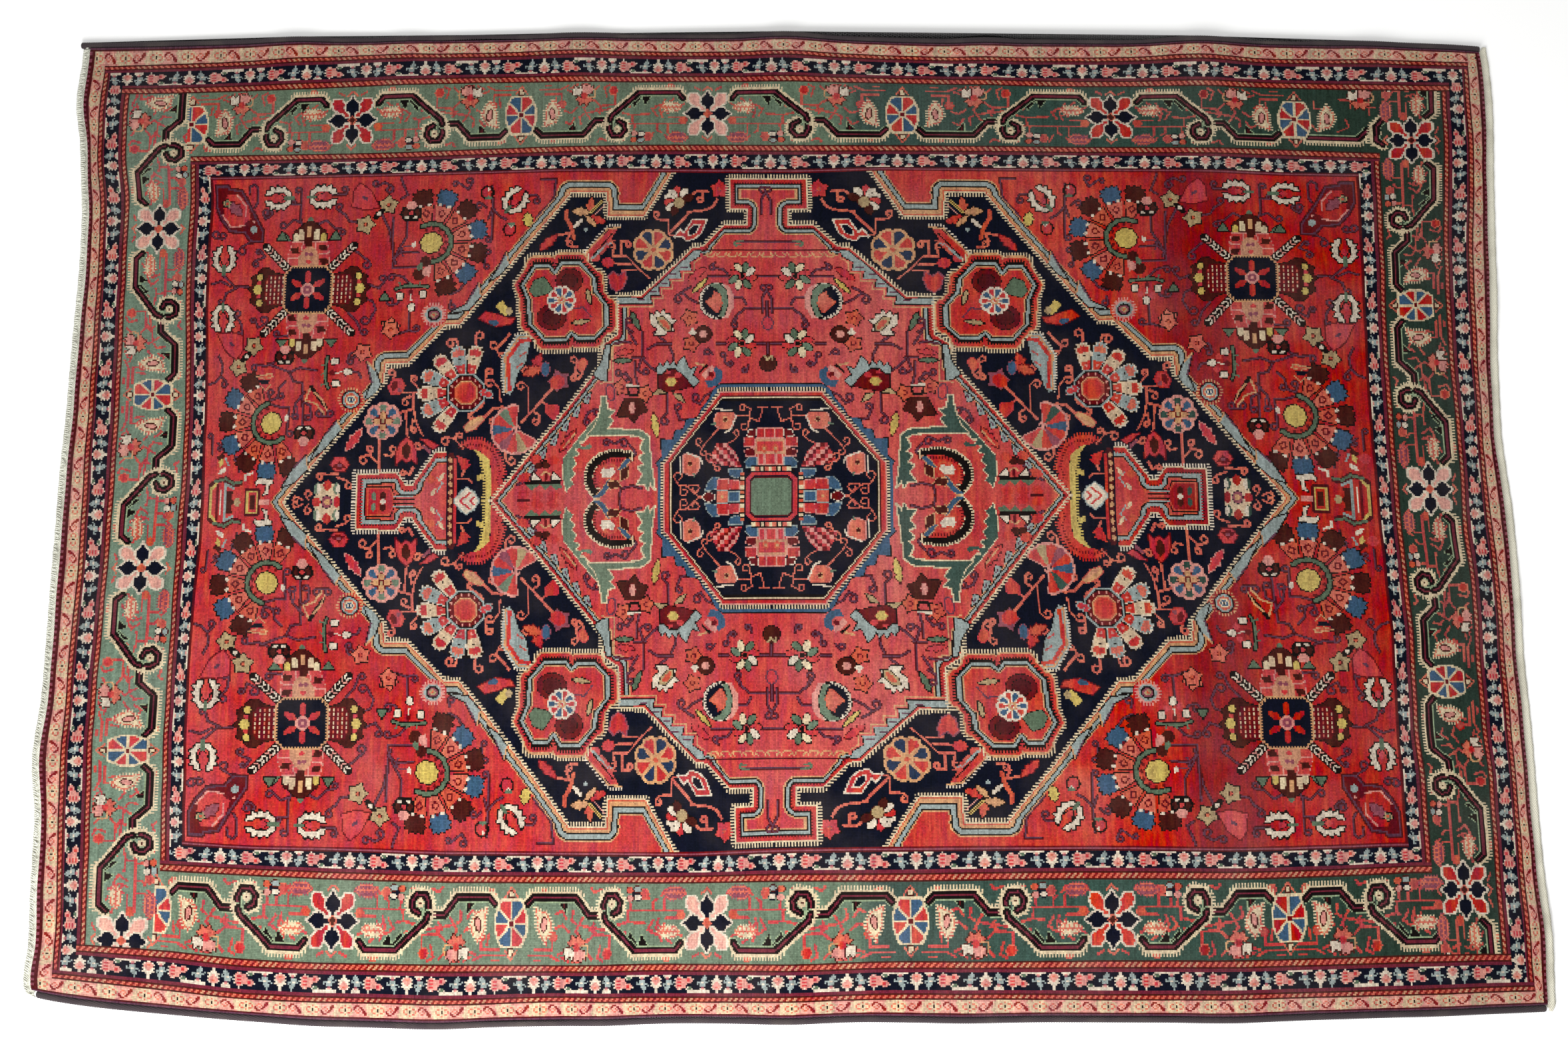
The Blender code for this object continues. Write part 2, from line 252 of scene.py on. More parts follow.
def crossRosette(u, v):
    for side in (-1, 1):  # the lobes with the checks
        to = spot(u, v, 0, 1, side)
        lobe = [(36, 22), (52, 27), (60, 33), (70, 34), (78, 24), (86, 20), (84, 8), (91, 2), (84, -6), (87, -18),
                (78, -24), (70, -33), (60, -34), (52, -27), (36, -22)]
        edged("brown", "black", lobe, to, 1.0)
        fill("wine", [(33, 22), (60, 22), (66, 12), (66, -12), (60, -22), (33, -22)], to)
        for row in range(-3, 4):
            for step in range(5):
                yarn = ("cream", "salmon", "ecru")[(row + 2 * step) % 3]
                if step < 4 or abs(row) < 3:
                    fill(yarn, oval(2.2, 2.2, (38 + 6.1 * step, 6.1 * row), count=4, turn=45), to)
        for x, y, size in ((73, 20, 5), (76, 1, 7), (73, -19, 5)):
            edged("yellow", "black", oval(size, size * 1.1, (x, y), count=6), to, 1.2)
        for x, y in ((74, 11), (74, -10)):
            fill("rose", oval(3.5, 3.5, (x, y), count=6), to)
    for side in (-1, 1):  # the towers with their fans
        to = spot(u, v, 0 if side > 0 else 180)
        fan = [(-26, 72), (-24, 88), (-16, 93), (-10, 99), (0, 104), (10, 99), (16, 93), (24, 88), (26, 72)]
        edged("brown", "black", fan, to, 1.0)
        fill("green", [(-5, 104), (0, 111), (5, 104)], to)
        for x, y, yarn in ((-20, 78, "cream"), (-13, 84, "ecru"), (-1, 88, "gold"), (11, 84, "cream"), (20, 78, "yellow")):
            fill(yarn, [(x - 4, y - 8), (x + 4, y - 8), (x + 4, y + 4), (x + 2, y + 7), (x - 2, y + 7), (x - 4, y + 4)], to)
        edged("coral", "pink", [(-30, 34), (-32, 52), (-27, 64), (-25, 72), (25, 72), (27, 64), (30, 52), (28, 34)], to, 1.0)
        for x, y in ((-22, 60), (20, 64), (22, 43), (-2, 70)):
            fill("brown", [(x - 7, y + 3), (x - 3, y - 6), (x + 7, y - 5), (x + 5, y + 4)], to)
        line("pink", [(-29, 47), (-14, 49)], 2.15, to)
        line("pink", [(29, 55), (14, 53)], 2.15, to)
        line("pink", [(-9, 72), (-12, 60)], 2.15, to)
        line("pink", [(9, 72), (8, 60)], 2.15, to)
        fill("tan", [(-16, 34), (-16, 48), (-10, 60), (-2, 65), (4, 65), (12, 58), (15, 46), (14, 34)], to)
        fill("mauve", oval(3.5, 3.5, (-4, 53), count=6), to)
        fill("mauve", oval(3.5, 3.5, (3, 53), count=6), to)
        fill("rose", oval(4, 4, (0, 42), count=6), to)
        for x in (-37, 37):
            edged("green", "black", [(x - 9, 74), (x + 9, 74), (x + 3, 82), (x, 86), (x - 3, 82)], to, 1.0)
    for turn in (45, 135, 225, 315):  # the ears of corn on the diagonals
        to = spot(u, v, turn)
        line("black", [(34, 0), (92, 0)], 13, to)
        for step in range(8):
            x = 38 + 7 * step
            for side in (-1, 1):
                line("white" if step % 3 else "pink", [(x, 1.6 * side), (x + 4.5, 4.4 * side)], 2.4, to)
    body = [(-24, 35), (24, 35), (34, 24), (35, -24), (24, -35), (-24, -35), (-35, -24), (-34, 24)]
    to = spot(u, v)
    fill("navy", body, to)
    bands(to(body), (("gold", 2.1),), True)
    teeth("gold", to(body), 2.2, 0, True, "in")
    for turn in (0, 60, 120, 180, 240, 300):
        fill("red", [(10, -2), (17, -5), (27, -3), (29, 0), (27, 3), (17, 5), (10, 2)], spot(u, v, turn + 90))
    fill("pink", oval(10.5, 10.5, count=8, turn=22), to)
    fill("mauve", oval(7.5, 7.5, count=8, turn=22), to)
    fill("pink", oval(3.0, 3.0, count=6), to)


def wheel(to, across=20, up=27, petals=8, yarnA="red", yarnB="blue", rim="cream", hub="wine", notch=0.12, share=0.7):
    edge = []
    for step in range(petals * 4):
        angle = 2 * math.pi * (step / (petals * 4) + 0.5 / petals)
        swell = 1 - notch * (1 if step % 4 == 0 else 0)
        edge.append((across * swell * math.cos(angle), up * swell * math.sin(angle)))
    edged(rim, rim, edge, to, 1.6)
    for step in range(petals):
        middle = 2 * math.pi * step / petals
        half = math.pi / petals * share
        petal = [(0.26 * across * math.cos(middle), 0.26 * up * math.sin(middle))]
        for side, reach in ((-1, 0.82), (-0.5, 0.93), (0.5, 0.93), (1, 0.82)):
            angle = middle + half * side
            petal.append((across * reach * math.cos(angle), up * reach * math.sin(angle)))
        fill(yarnA if step % 2 == 0 else yarnB, petal, to)
    fill(rim, oval(across * 0.24, up * 0.2, count=8), to)
    fill(hub, oval(max(2.2, across * 0.13), max(2.2, up * 0.1), count=6), to)


def navyFan(to):
    tips = ("red", "salmon", "red", "salmon", "red", "salmon", "red")
    for step, (angle, tip) in enumerate(zip((78, 102, 129, 155, 180, 204, 232), tips)):
        turn = math.radians(angle)
        cosine, sine = math.cos(turn), math.sin(turn)

        def petal(points):
            return to([(x * cosine - y * sine, x * sine + y * cosine) for x, y in points])

        fill("black", [(26, -9), (66, -13), (70, 0), (66, 13), (26, 9)], petal)
        shape = [(28, -6), (44, -9), (62, -10), (64, -6), (68, -7), (67, -2), (70, 0), (67, 2), (68, 7), (64, 6),
                 (62, 10), (44, 9), (28, 6)]
        edged("sky" if step % 2 else "ecru", "white", shape, petal, 0.9)
        fill("red", [(28, -5), (41, -7), (41, 7), (28, 5)], petal)
        fill("pink", oval(2.3, 2.3, (35, 0), count=6), petal)
        fill(tip, [(54, -8), (62, -8), (62, -4), (66, -3), (64, 0), (66, 3), (62, 4), (62, 8), (54, 8)], petal)
        fill("black", oval(1.8, 1.8, (50, 0), count=6), petal)
    fill("black", oval(30, 30, count=8, turn=22), to)
    line("sky", oval(28, 28, count=8, turn=22)[:8], 2.15, to, True)
    fill("wine", oval(24, 24, count=16), to)
    for step in range(14):
        angle = 2 * math.pi * step / 14
        fill("pink", oval(1.9, 1.9, (22 * math.cos(angle), 22 * math.sin(angle)), count=6), to)
    fill("gold", oval(18.5, 18.5, count=8, turn=22), to)
    fill("orange", oval(16.5, 16.5, count=8, turn=22), to)
    fill("red", oval(14.0, 14.0, count=8, turn=22), to)


def blossom(to, petals=("white", "rose", "white", "rose"), heart="green", reach=11, edge="black"):
    for step, yarn in enumerate(petals):
        angle = 2 * math.pi * step / len(petals)
        middle = (0.62 * reach * math.cos(angle), 0.62 * reach * math.sin(angle))
        edged(yarn, edge, oval(0.42 * reach, 0.36 * reach, middle, math.degrees(angle), 8), to, 1.1)
    edged(heart, edge, oval(0.24 * reach, 0.24 * reach, count=6), to, 0.9)


def leaf(to, yarn="green", edge="black", long=12, wide=6, vein=None):
    shape = [(-long, 0), (-0.5 * long, 0.8 * wide), (-0.35 * long, 0.5 * wide), (0.1 * long, wide),
             (0.25 * long, 0.6 * wide), (0.55 * long, 0.6 * wide), (long, 0), (0.55 * long, -0.6 * wide),
             (0.25 * long, -0.6 * wide), (0.1 * long, -wide), (-0.35 * long, -0.5 * wide), (-0.5 * long, -0.8 * wide)]
    edged(yarn, edge, shape, to, 1.4)
    if vein:
        line(vein, [(-0.6 * long, 0), (0.6 * long, 0)], 2.15, to)


def star8(to, yarn="olive", heart="brown", reach=14):
    shape = []
    for step in range(10):
        angle = 2 * math.pi * step / 10 + 0.3
        radius = reach if step % 2 == 0 else reach * 0.66
        shape.append((radius * math.cos(angle), radius * math.sin(angle)))
    edged(yarn, "black", shape, to, 1.4)
    edged("orange", heart, oval(2.6, 2.6, count=6), to, 1.2)


def tulip(to, cup="red", lips="cream", edge="black", reach=12):
    shape = [(-0.6, -1), (-0.95, -0.3), (-0.8, 0.35), (-1, 1), (-0.45, 0.55), (0, 1.1), (0.45, 0.55), (1, 1),
             (0.8, 0.35), (0.95, -0.3), (0.6, -1)]
    edged(lips, edge, [(x * reach * 0.85, y * reach) for x, y in shape], to, 1.3)
    fill(cup, [(x * reach * 0.5, (y - 0.1) * reach * 0.72) for x, y in shape], to)


def pinkBrown(to):
    """the small flower with two dark shoulders"""
    fill("black", [(-17, -2), (-13, 9), (-5, 11), (6, 10), (14, 8), (16, -3), (10, -12), (-10, -12)], to)
    fill("brown", [(-13, 0), (-9, 7), (-4, 3), (-8, -8)], to)
    fill("brown", [(13, 0), (9, 6), (5, 3), (8, -8)], to)
    fill("pink", [(-6, 6), (-8, 12), (-4, 18), (5, 18), (8, 11), (4, 5)], to)
    fill("rose", oval(3.4, 3.4, (0, 0), count=6), to)
    for side in (-1, 1):
        fill("white", oval(4.0, 2.2, (6 * side, -7), 25 * side, 8), to)


# ---- the red field outside the medallion, one quarter of it: the rest is its mirror image ----
def redField():
    fill("red", [(-830, -2), (-830, 484), (4, 484), (4, -2)])
    for points, ends in fieldTendrils:
        tendril(points, "maroon", "plum", 4.4, ends)
    for u, v, turn in ((-727, 451, 90), (-664, 452, -90), (-807, 357, 0), (-806, 272, 180), (-383, 437, -38)):
        crown(spot(u, v, turn))
    flask = [(-824, 470), (-806, 470), (-806, 465), (-786, 463), (-774, 440), (-757, 412), (-751, 402), (-751, 386),
             (-768, 387), (-778, 400), (-800, 402), (-815, 420), (-824, 440)]
    edged("wine", "maroon", flask, asDrawn, 3.6)
    line("plum", flask, 2.4, asDrawn, True)
    fill("red", [(-814, 440), (-812, 425), (-800, 410), (-784, 410), (-770, 420), (-776, 440), (-790, 458), (-808, 458)])
    line("pink", [(-794, 458), (-778, 438), (-778, 424)], 2.4)
    line("pink", [(-815, 427), (-800, 408), (-779, 410)], 2.4)
    leaf(spot(-796, 436, -42), "mauve", "wine", 16, 9)
    star8(spot(-809, 444), "olive", "green", 7)
    fill("sky", oval(5, 6, (-764, 404)))
    fill("pink", oval(2.2, 2.2, (-765, 416)))
    crossRosette(-678, 312)
    sunPalmette(spot(-727, 115, 207))
    sunPalmette(spot(-501, 378, 15))
    for u, v, turn in ((-566, 437, 70), (-598, 408, 200), (-758, 229, 40), (-781, 198, 240)):
        star8(spot(u, v, turn), "olive", "brown", 15)
    for u, v in ((-579, 424), (-769, 213)):
        fill("black", oval(11, 5, (u, v), 45))
        fill("white", oval(3.4, 3.4, (u, v), count=8))
    for u, v, turn in ((-600, 448, 10), (-793, 232, 190)):
        edged("rose", "wine", [(-20, -8), (-14, 14), (-4, 24), (4, 16), (10, 8), (18, -18), (-4, -16)], spot(u, v, turn), 2)
        fill("plum", oval(5, 2.4, (u, v), -40))
    for u, v, turn in ((-532, 424, 0), (-709, 212, 0), (-676, 100, 180)):
        pinkBrown(spot(u, v, turn))
    for u, v, turn in ((-595, 218, 100), (-557, 254, 60), (-556, 250, 250)):
        star8(spot(u, v, turn), "salmon", "wine", 14)
    fill("brown", oval(8, 8, (-509, 350)))
    fill("brown", oval(9, 9, (-518, 331)))
    fill("pink", [(-514, 338), (-502, 345), (-500, 336), (-504, 327), (-512, 330)])
    fill("green", [(-521, 345), (-513, 350), (-512, 338), (-520, 337)])
    for u, v, turn, flip in ((-528, 306, 0, 1), (-639, 188, 90, 1)):
        to = spot(u, v, turn, 1, flip)
        line("black", [(-22, 4), (-10, 8), (2, 8), (14, 7), (24, 6)], 6.5, to)
        line("green", [(-22, 4), (-10, 8), (2, 8), (14, 7), (24, 6)], 3.2, to)
        for x in (-16, 0, 13):
            line("green", [(x, 7), (x - 2, 14)], 2.4, to)
        for x, y in ((-16, -7), (17, -5), (1, -24)):
            edged("white", "black", [(x - 5, y + 4), (x, y + 6), (x + 5, y + 4), (x + 4, y - 5), (x - 3, y - 6)], to, 1.2)
        for x, y in ((-8, -17), (10, -14)):
            fill("rose", oval(5, 5, (x, y), count=6), to)
        fill("wine", oval(4, 6, (0, -2), count=8), to)
        line("white", [(-1, -6), (1, -14)], 2.4, to)
    to = spot(-738, 180)
    fill("gold", [(-17, 4), (10, 9), (13, 2), (-2, -1)], to)
    fill("orange", [(-12, 4), (8, 6), (9, 2), (-2, 1)], to)
    fill("navy", [(-17, 4), (-10, -1), (9, -1), (3, -8), (-6, -8)], to)
    line("gold", [(-7, -10), (0, -17), (8, -9)], 2.15, to)
    line("gold", [(-668, 168), (-675, 148), (-660, 143), (-648, 128)], 3.0)
    line("black", [(-667, 168), (-655, 150), (-646, 138)], 5.2)
    line("gold", [(-663, 160), (-652, 150), (-644, 133)], 2.15)
    for u, v in ((-566, 300), (-720, 394), (-640, 394)):
        edged("green", "black", [(-8, -7), (8, -7), (3, 2), (0, 6), (-3, 2)], spot(u, v, 0, 0.9))
    for u, v in ((-422, 452), (-388, 395)):
        line("black", oval(9, 10, (u, v)), 2.6, asDrawn, True)
        fill("rose", oval(6, 7, (u, v), count=8))
        fill("white", oval(2.4, 3.4, (u + 2, v + 5), count=6))
        fill("green", oval(5.5, 3, (u + 2, v - 8 if v > 420 else v + 8), count=8))
    leaf(spot(-362, 409, 100), "yellow", "black", 11, 8)
    # the little stand between the side suns
    fill("maroon", [(-828, -3), (-822, -3), (-822, 26), (-812, 34), (-795, 38), (-782, 30), (-770, 32), (-770, 24),
                    (-786, 20), (-800, 30), (-815, 26), (-818, -3)])
    line("yellow", [(-818, -2), (-818, 20), (-810, 26)], 4.6)
    line("green", [(-812, 30), (-796, 34), (-784, 27), (-772, 29)], 4.0)
    line("wine", [(-808, -2), (-808, 24)], 4.0)
    line("white", [(-803, -2), (-803, 16)], 2.6)
    line("sky", [(-797, -2), (-797, 27), (-784, 20)], 4.0)
    fill("brown", [(-794, -2), (-794, 16), (-784, 16), (-786, 6), (-780, -2)])
    fill("olive", oval(5, 6, (-777, 0)))
    line("maroon", [(-764, -3), (-764, 17), (-744, 17), (-744, -3)], 5.0)
    line("yellow", [(-762, -3), (-762, 15), (-746, 15), (-746, -3)], 3.4)
    fill("brown", [(-757, -3), (-757, 10), (-750, 10), (-750, -3)])
    edged("white", "black", [(-750, 28), (-744, 34), (-724, 33), (-722, 28), (-728, 25), (-730, 12), (-738, 9), (-734, 16),
                             (-732, 26), (-744, 27), (-748, 24)], asDrawn, 1.2)
    fill("pink", [(-744, 3), (-744, -3), (-727, -3), (-727, 5), (-736, 4)])
    fill("white", [(-768, 40), (-754, 44), (-752, 41), (-764, 37), (-764, 30), (-768, 32)])
    to = spot(-803, 58, 25)
    fill("brown", [(-4, 4), (8, 4), (8, 14), (2, 10), (-4, 12)], to)
    fill("yellow", [(-6, -6), (2, -4), (4, 4), (-4, 3)], to)
    line("sky", [(8, -8), (8, 2)], 3.4, to)
    fill("rose", oval(8, 8, (-14, 6), count=8), to)
    fill("white", oval(7, 3, (-4, -12), 10), to)


fieldTendrils = (  # the thin dark plum stems with their curls
    (((-774, 458), (-773, 469), (-766, 473), (-761, 467), (-761, 446), (-765, 438)), ()),
    (((-690, 408), (-694, 420), (-694, 462)), (("last", 5, 1),)),
    (((-694, 441), (-706, 441)), (("last", 4, -1),)),
    (((-740, 424), (-748, 420), (-752, 427)), (("last", 5, -1), ("first", 5, 1))),
    (((-694, 414), (-704, 418), (-716, 406)), (("last", 5, -1),)),
    (((-668, 410), (-655, 416), (-642, 404), (-630, 402)), (("last", 4.5, -1),)),
    (((-823, 392), (-812, 390)), (("first", 5.5, -1), ("last", 5, 1))),
    (((-751, 386), (-772, 383), (-783, 376)), (("last", 6, 1),)),
    (((-808, 335), (-790, 318), (-768, 317)), ()),
    (((-806, 294), (-802, 308), (-784, 317)), (("first", 4, -1),)),
    (((-824, 322), (-810, 326), (-796, 318)), ()),
    (((-648, 455), (-628, 455), (-626, 462)), (("last", 4, 1),)),
    (((-640, 432), (-628, 424), (-622, 414), (-608, 412)), (("first", 5, -1),)),
    (((-575, 424), (-562, 398), (-556, 366), (-552, 348)), ()),
    (((-558, 418), (-556, 342), (-520, 342)), ()),
    (((-537, 412), (-537, 388), (-550, 366), (-556, 350)), ()),
    (((-520, 364), (-544, 366), (-556, 356)), ()),
    (((-556, 332), (-540, 328), (-532, 318)), (("first", 5, 1),)),
    (((-540, 298), (-548, 288), (-556, 286)), (("last", 6, -1),)),
    (((-530, 280), (-530, 248), (-546, 243)), (("last", 4, -1),)),
    (((-530, 248), (-520, 246)), (("last", 5, 1),)),
    (((-617, 374), (-604, 364), (-590, 352)), (("first", 5, 1), ("last", 6, -1))),
    (((-590, 318), (-575, 312), (-566, 324)), (("last", 5, 1),)),
    (((-600, 300), (-582, 292), (-578, 280), (-588, 262)), (("last", 6, -1),)),
    (((-618, 278), (-604, 262), (-598, 246)), (("last", 5, 1),)),
    (((-752, 372), (-745, 362), (-760, 356)), (("first", 4, 1), ("last", 5, 1))),
    (((-756, 268), (-752, 256), (-740, 262)), (("last", 6, 1), ("first", 4, 1))),
    (((-787, 274), (-778, 262), (-776, 246)), (("first", 5, -1), ("last", 5, -1))),
    (((-697, 236), (-706, 244), (-722, 242)), (("last", 5, -1),)),
    (((-812, 214), (-806, 200), (-808, 184), (-800, 176)), (("last", 5, -1),)),
    (((-826, 172), (-816, 176), (-808, 184)), ()),
    (((-735, 202), (-718, 196), (-700, 190), (-684, 196), (-660, 192)), ()),
    (((-755, 201), (-738, 199), (-725, 204)), (("first", 5, 1),)),
    (((-706, 176), (-716, 166), (-718, 156)), (("last", 5, 1),)),
    (((-700, 188), (-694, 176), (-680, 174), (-678, 112)), ()),
    (((-676, 160), (-690, 144), (-694, 126)), (("last", 5, 1),)),
    (((-678, 146), (-668, 140), (-666, 124)), (("last", 5, -1),)),
    (((-720, 152), (-730, 148), (-734, 158)), (("last", 5, -1),)),
    (((-728, 142), (-712, 138), (-700, 138), (-702, 100)), (("last", 5, 1),)),
    (((-818, 96), (-818, 70)), (("first", 4, 1),)),
    (((-810, 86), (-804, 82)), (("last", 4, -1),)),
    (((-775, 44), (-776, 62)), (("last", 4, 1),)),
    (((-655, 124), (-640, 124)), (("first", 5, -1), ("last", 5, 1))),
    (((-612, 190), (-600, 188), (-596, 180)), ()),
    (((-616, 205), (-614, 214)), (("last", 5, -1), ("first", 4, 1))),
    (((-548, 478), (-544, 466), (-538, 452), (-548, 446)), ()),
    (((-582, 466), (-572, 472), (-562, 466)), (("first", 5, -1), ("last", 6, -1))),
    (((-466, 470), (-458, 464), (-450, 458), (-444, 468)), (("last", 5, 1), ("first", 4, 1))),
    (((-415, 462), (-414, 430), (-420, 412)), ()),
    (((-414, 428), (-404, 416), (-394, 410)), ()),
    (((-424, 430), (-430, 436)), (("last", 5, 1),)),
    (((-414, 420), (-414, 380)), (("last", 4, -1),)),
    (((-422, 362), (-424, 340)), (("first", 4, -1), ("last", 4, 1))),
    (((-364, 446), (-350, 446), (-346, 440)), (("last", 5, -1),)),
    (((-344, 470), (-322, 470), (-325, 440), (-350, 412)), ()),
    (((-450, 318), (-458, 306), (-468, 300)), (("last", 5, -1),)),
    (((-470, 290), (-472, 282)), (("last", 5, 1),)),
)


# ---- the navy medallion and what lies on it ----
medallionEdge = [(-739, -40), (-562, 174), (-560, 198), (-530, 199), (-477, 253), (-456, 254), (-300, 447), (-246, 448),
                 (-244, 412), (-187, 412), (-143, 482), (-143, 520), (50, 520), (50, -40)]
frameBands = (("cream", 2.1), ("orange", 2.2), ("gold", 4.6), ("black", 2.1), ("sky", 6.2), ("black", 2.2), ("gold", 2.1))
lobes = [(-322, 330), (-313, 345), (-285, 345), (-260, 319), (-259, 301), (-241, 278), (-241, 250), (-261, 229),
         (-287, 229), (-296, 237), (-304, 227), (-335, 227), (-358, 252), (-361, 288), (-370, 310), (-351, 341),
         (-330, 341)]
coralEdge = [(-442, -40), (-252, 192), (-250, 222), (-228, 236), (-227, 293), (-190, 294), (-112, 367), (-97, 368),
             (-64, 402), (-30, 402), (-30, 424), (-57, 424), (-57, 472), (50, 472), (50, -40)]


def navyGround():
    fill("navy", medallionEdge)
    bands(medallionEdge, frameBands)
    for flame in (((-708, 22), (-690, 50), (-672, 67), (-669, 48), (-690, 28)),
                  ((-664, 62), (-646, 96), (-629, 118), (-622, 106), (-645, 78)),
                  ((-590, 148), (-580, 172), (-588, 203), (-577, 192), (-568, 170), (-574, 158)),
                  ((-470, 272), (-448, 284), (-431, 315), (-427, 296), (-444, 276)),
                  ((-415, 318), (-404, 336), (-392, 360), (-388, 343), (-400, 328))):
        edged("sky", "black", list(flame), asDrawn, 2.0)
        line("plum", [flame[1], flame[2]], 2.1)
        line("gold", [flame[2], flame[3]], 2.1)
    for radius, yarn in ((19, "red"), (14, "black"), (12, "sky"), (9.5, "orange"), (7, "cream"), (5, "blue"), (3, "white"),
                         (1.5, "black")):
        fill(yarn, oval(radius, radius, (-610, 148)))
    teeth("gold", oval(15, 15, (-610, 148)), 4.5, 0, True, "out")
    for radius, yarn in ((20, "red"), (15, "pink"), (12.5, "sky"), (9.5, "black"), (7, "mauve"), (4.5, "olive"),
                         (2.4, "orange")):
        fill(yarn, oval(radius, radius * 0.92, (-494, 270)))
    teeth("pink", oval(14.5, 14, (-494, 270)), 5, 0, True, "out")
    teeth("cream", medallionEdge[:12], 5.4, 0, False, "right")
    vase()
    for points, ends in navyTendrils:
        tendril(points, None, "salmon", 2.4, ends)
        tendril([(u + 1.2, v - 1.4) for u, v in points], None, "salmon", 2.0, ends)
    navyFan(spot(-446, 155))
    wheel(spot(-564, 116), 26, 26, 8, "sage", "blue", "pink", "wine")
    for step in range(4):
        leaf(spot(-564, 116, 90 * step, 1), "red", "pink", 15, 3)
    blossom(spot(-564, 116), ("gold", "gold", "gold", "gold"), "olive", 13, "wine")
    edged("ecru", "navy", oval(19, 29, (-641, 1), count=12), asDrawn, 1)  # the white flower by the tip
    for x, y in ((-655, 19), (-628, 19), (-655, -17), (-628, -17)):
        fill("sage", oval(5, 9, (x, y), count=8))
        fill("white", oval(3, 8, (x + 2, y), count=6))
    for x, y, wide, high in ((-641, 24, 6, 8), (-641, -22, 6, 8), (-656, 1, 6, 6), (-627, 1, 5, 7)):
        fill("red", oval(wide, high, (x, y), count=8))
    edged("mauve", "navy", oval(7, 8, (-641, 1), count=8), asDrawn, 1)
    fill("gold", oval(3.5, 4, (-641, 1), count=8))
    edged("rose", "wine", oval(13, 12, (-624, 54), count=6), asDrawn, 1.4)
    fill("wine", [(-636, 50), (-624, 58), (-614, 50), (-626, 46)])
    fill("mauve", oval(3, 3, (-624, 53), count=6))
    edged("rose", "red", oval(13, 11, (-545, 166), 60, 6), asDrawn, 1.4)
    fill("wine", oval(5, 8, (-548, 168), -20, 8))
    fill("mauve", oval(3, 4, (-541, 161), 30, 6))
    leaf(spot(-604, 90, 55), "rose", "pink", 19, 7)
    line("rose", [(-611, 79), (-597, 101)], 5.0)
    edged("gold", "rust", [(-449, 106), (-438, 116), (-424, 121), (-420, 116), (-432, 103), (-445, 99)], asDrawn, 1.5)
    fill("tan", [(-446, 101), (-432, 112), (-421, 116), (-433, 103)])
    # the pink bloom with a brown heart
    edged("rose", "wine", [(-544, 52), (-544, 70), (-538, 84), (-530, 92), (-522, 86), (-516, 72), (-515, 54), (-522, 60),
                           (-529, 56), (-536, 62)], asDrawn, 1.4)
    fill("brown", [(-529, 86), (-523, 76), (-525, 64), (-529, 60), (-534, 64), (-536, 76)])
    to = spot(-497, 84, -40)
    edged("rose", "wine", [(-13, -4), (-4, 2), (13, 5), (10, -4)], to, 1.2)
    fill("mauve", [(-6, -9), (8, -6), (12, -12), (0, -12)], to)
    # the half wheel
    for step, yarn in enumerate(("red", "sage", "red", "blue", "red", "mauve", "red", "olive", "coral")):
        angle = 100 + 27 * step
        fill("pink", [(4, -2.5), (34, -10.5), (37, 0), (34, 10.5), (4, 2.5)], spot(-375, 101, angle))
    for step, yarn in enumerate(("red", "sage", "red", "blue", "red", "mauve", "red", "olive", "coral")):
        angle = 100 + 27 * step
        fill(yarn, [(5, -1), (31, -8), (33.5, 0), (31, 8), (5, 1)], spot(-375, 101, angle))
    fill("pink", oval(5, 5, (-373, 102), count=8))
    fill("navy", oval(2.1, 2.1, (-371, 101), count=6))
    # the flame with the yellow saw
    flame = [(-452, 80), (-440, 87), (-422, 86), (-404, 75), (-396, 60), (-391, 40), (-396, 30), (-389, 24), (-397, 10),
             (-398, -8)]
    fill("red", flame + [(-410, -8), (-410, 50), (-424, 70), (-440, 74)])
    teeth("red", flame, 5, 0, False, "left")
    teeth("wine", flame, 4, 5, False, "right")
    fill("yellow", [(-436, 76), (-420, 66), (-411, 58), (-409, 30), (-411, -8), (-418, -8), (-417, 28), (-422, 56)])
    teeth("yellow", [(-422, 58), (-417, 28), (-418, -8)], 5, 0, False, "right")
    fill("yellow", [(-430, 37), (-419, 38), (-419, 31), (-430, 28)])
    for x, y in ((-450, 58), (-447, 52)):
        fill("red", [(x - 8, y + 8), (x, y + 4), (x + 10, y), (x + 2, y - 8), (x - 4, y - 8)])
    # the white flower on the axis
    edged("white", "sky", [(-460, 2), (-452, 12), (-444, 18), (-434, 12), (-427, 0), (-436, -8), (-456, -8)], asDrawn, 2)
    for x, y in ((-450, 3), (-442, 9), (-436, 3)):
        line("rose", [(x - 3, y - 3), (x + 3, y + 3)], 2.15)
    edged("red", "wine", [(-430, 262), (-420, 272), (-404, 268), (-388, 262), (-378, 262), (-382, 254), (-404, 250)],
          asDrawn, 1.4)
    fill("yellow", [(-406, 280), (-396, 288), (-390, 280), (-388, 264), (-398, 270)])
    fill("olive", oval(5, 6, (-386, 272), count=8))
    fill("blue", oval(8, 4, (-408, 256), -10, 8))
    for u, v, turn, yarn in ((-345, 196, 70, "red"), (-352, 184, 200, "orange")):
        leaf(spot(u, v, turn), yarn, "wine", 14, 8)
    edged("blue", "mauve", oval(6, 10, (-333, 187), count=8), asDrawn, 1.2)
    star8(spot(-313, 170, 20), "mauve", "red", 17)
    fill("red", oval(12, 10, (-316, 168), 30, 8))
    edged("red", "rose", [(-333, 136), (-316, 134), (-314, 124), (-322, 114), (-332, 124)], asDrawn, 1.2)
    edged("orange", "rose", oval(6, 9, (-279, 193), -20, 8), asDrawn, 1.4)
    fill("pink", [(-412, 152), (-408, 160), (-410, 152), (-406, 144), (-414, 148)])
    for x, y in ((-420, 155), (-414, 152)):
        edged("rose", "sky", oval(5, 5, (x, y), count=6), asDrawn, 1.6)
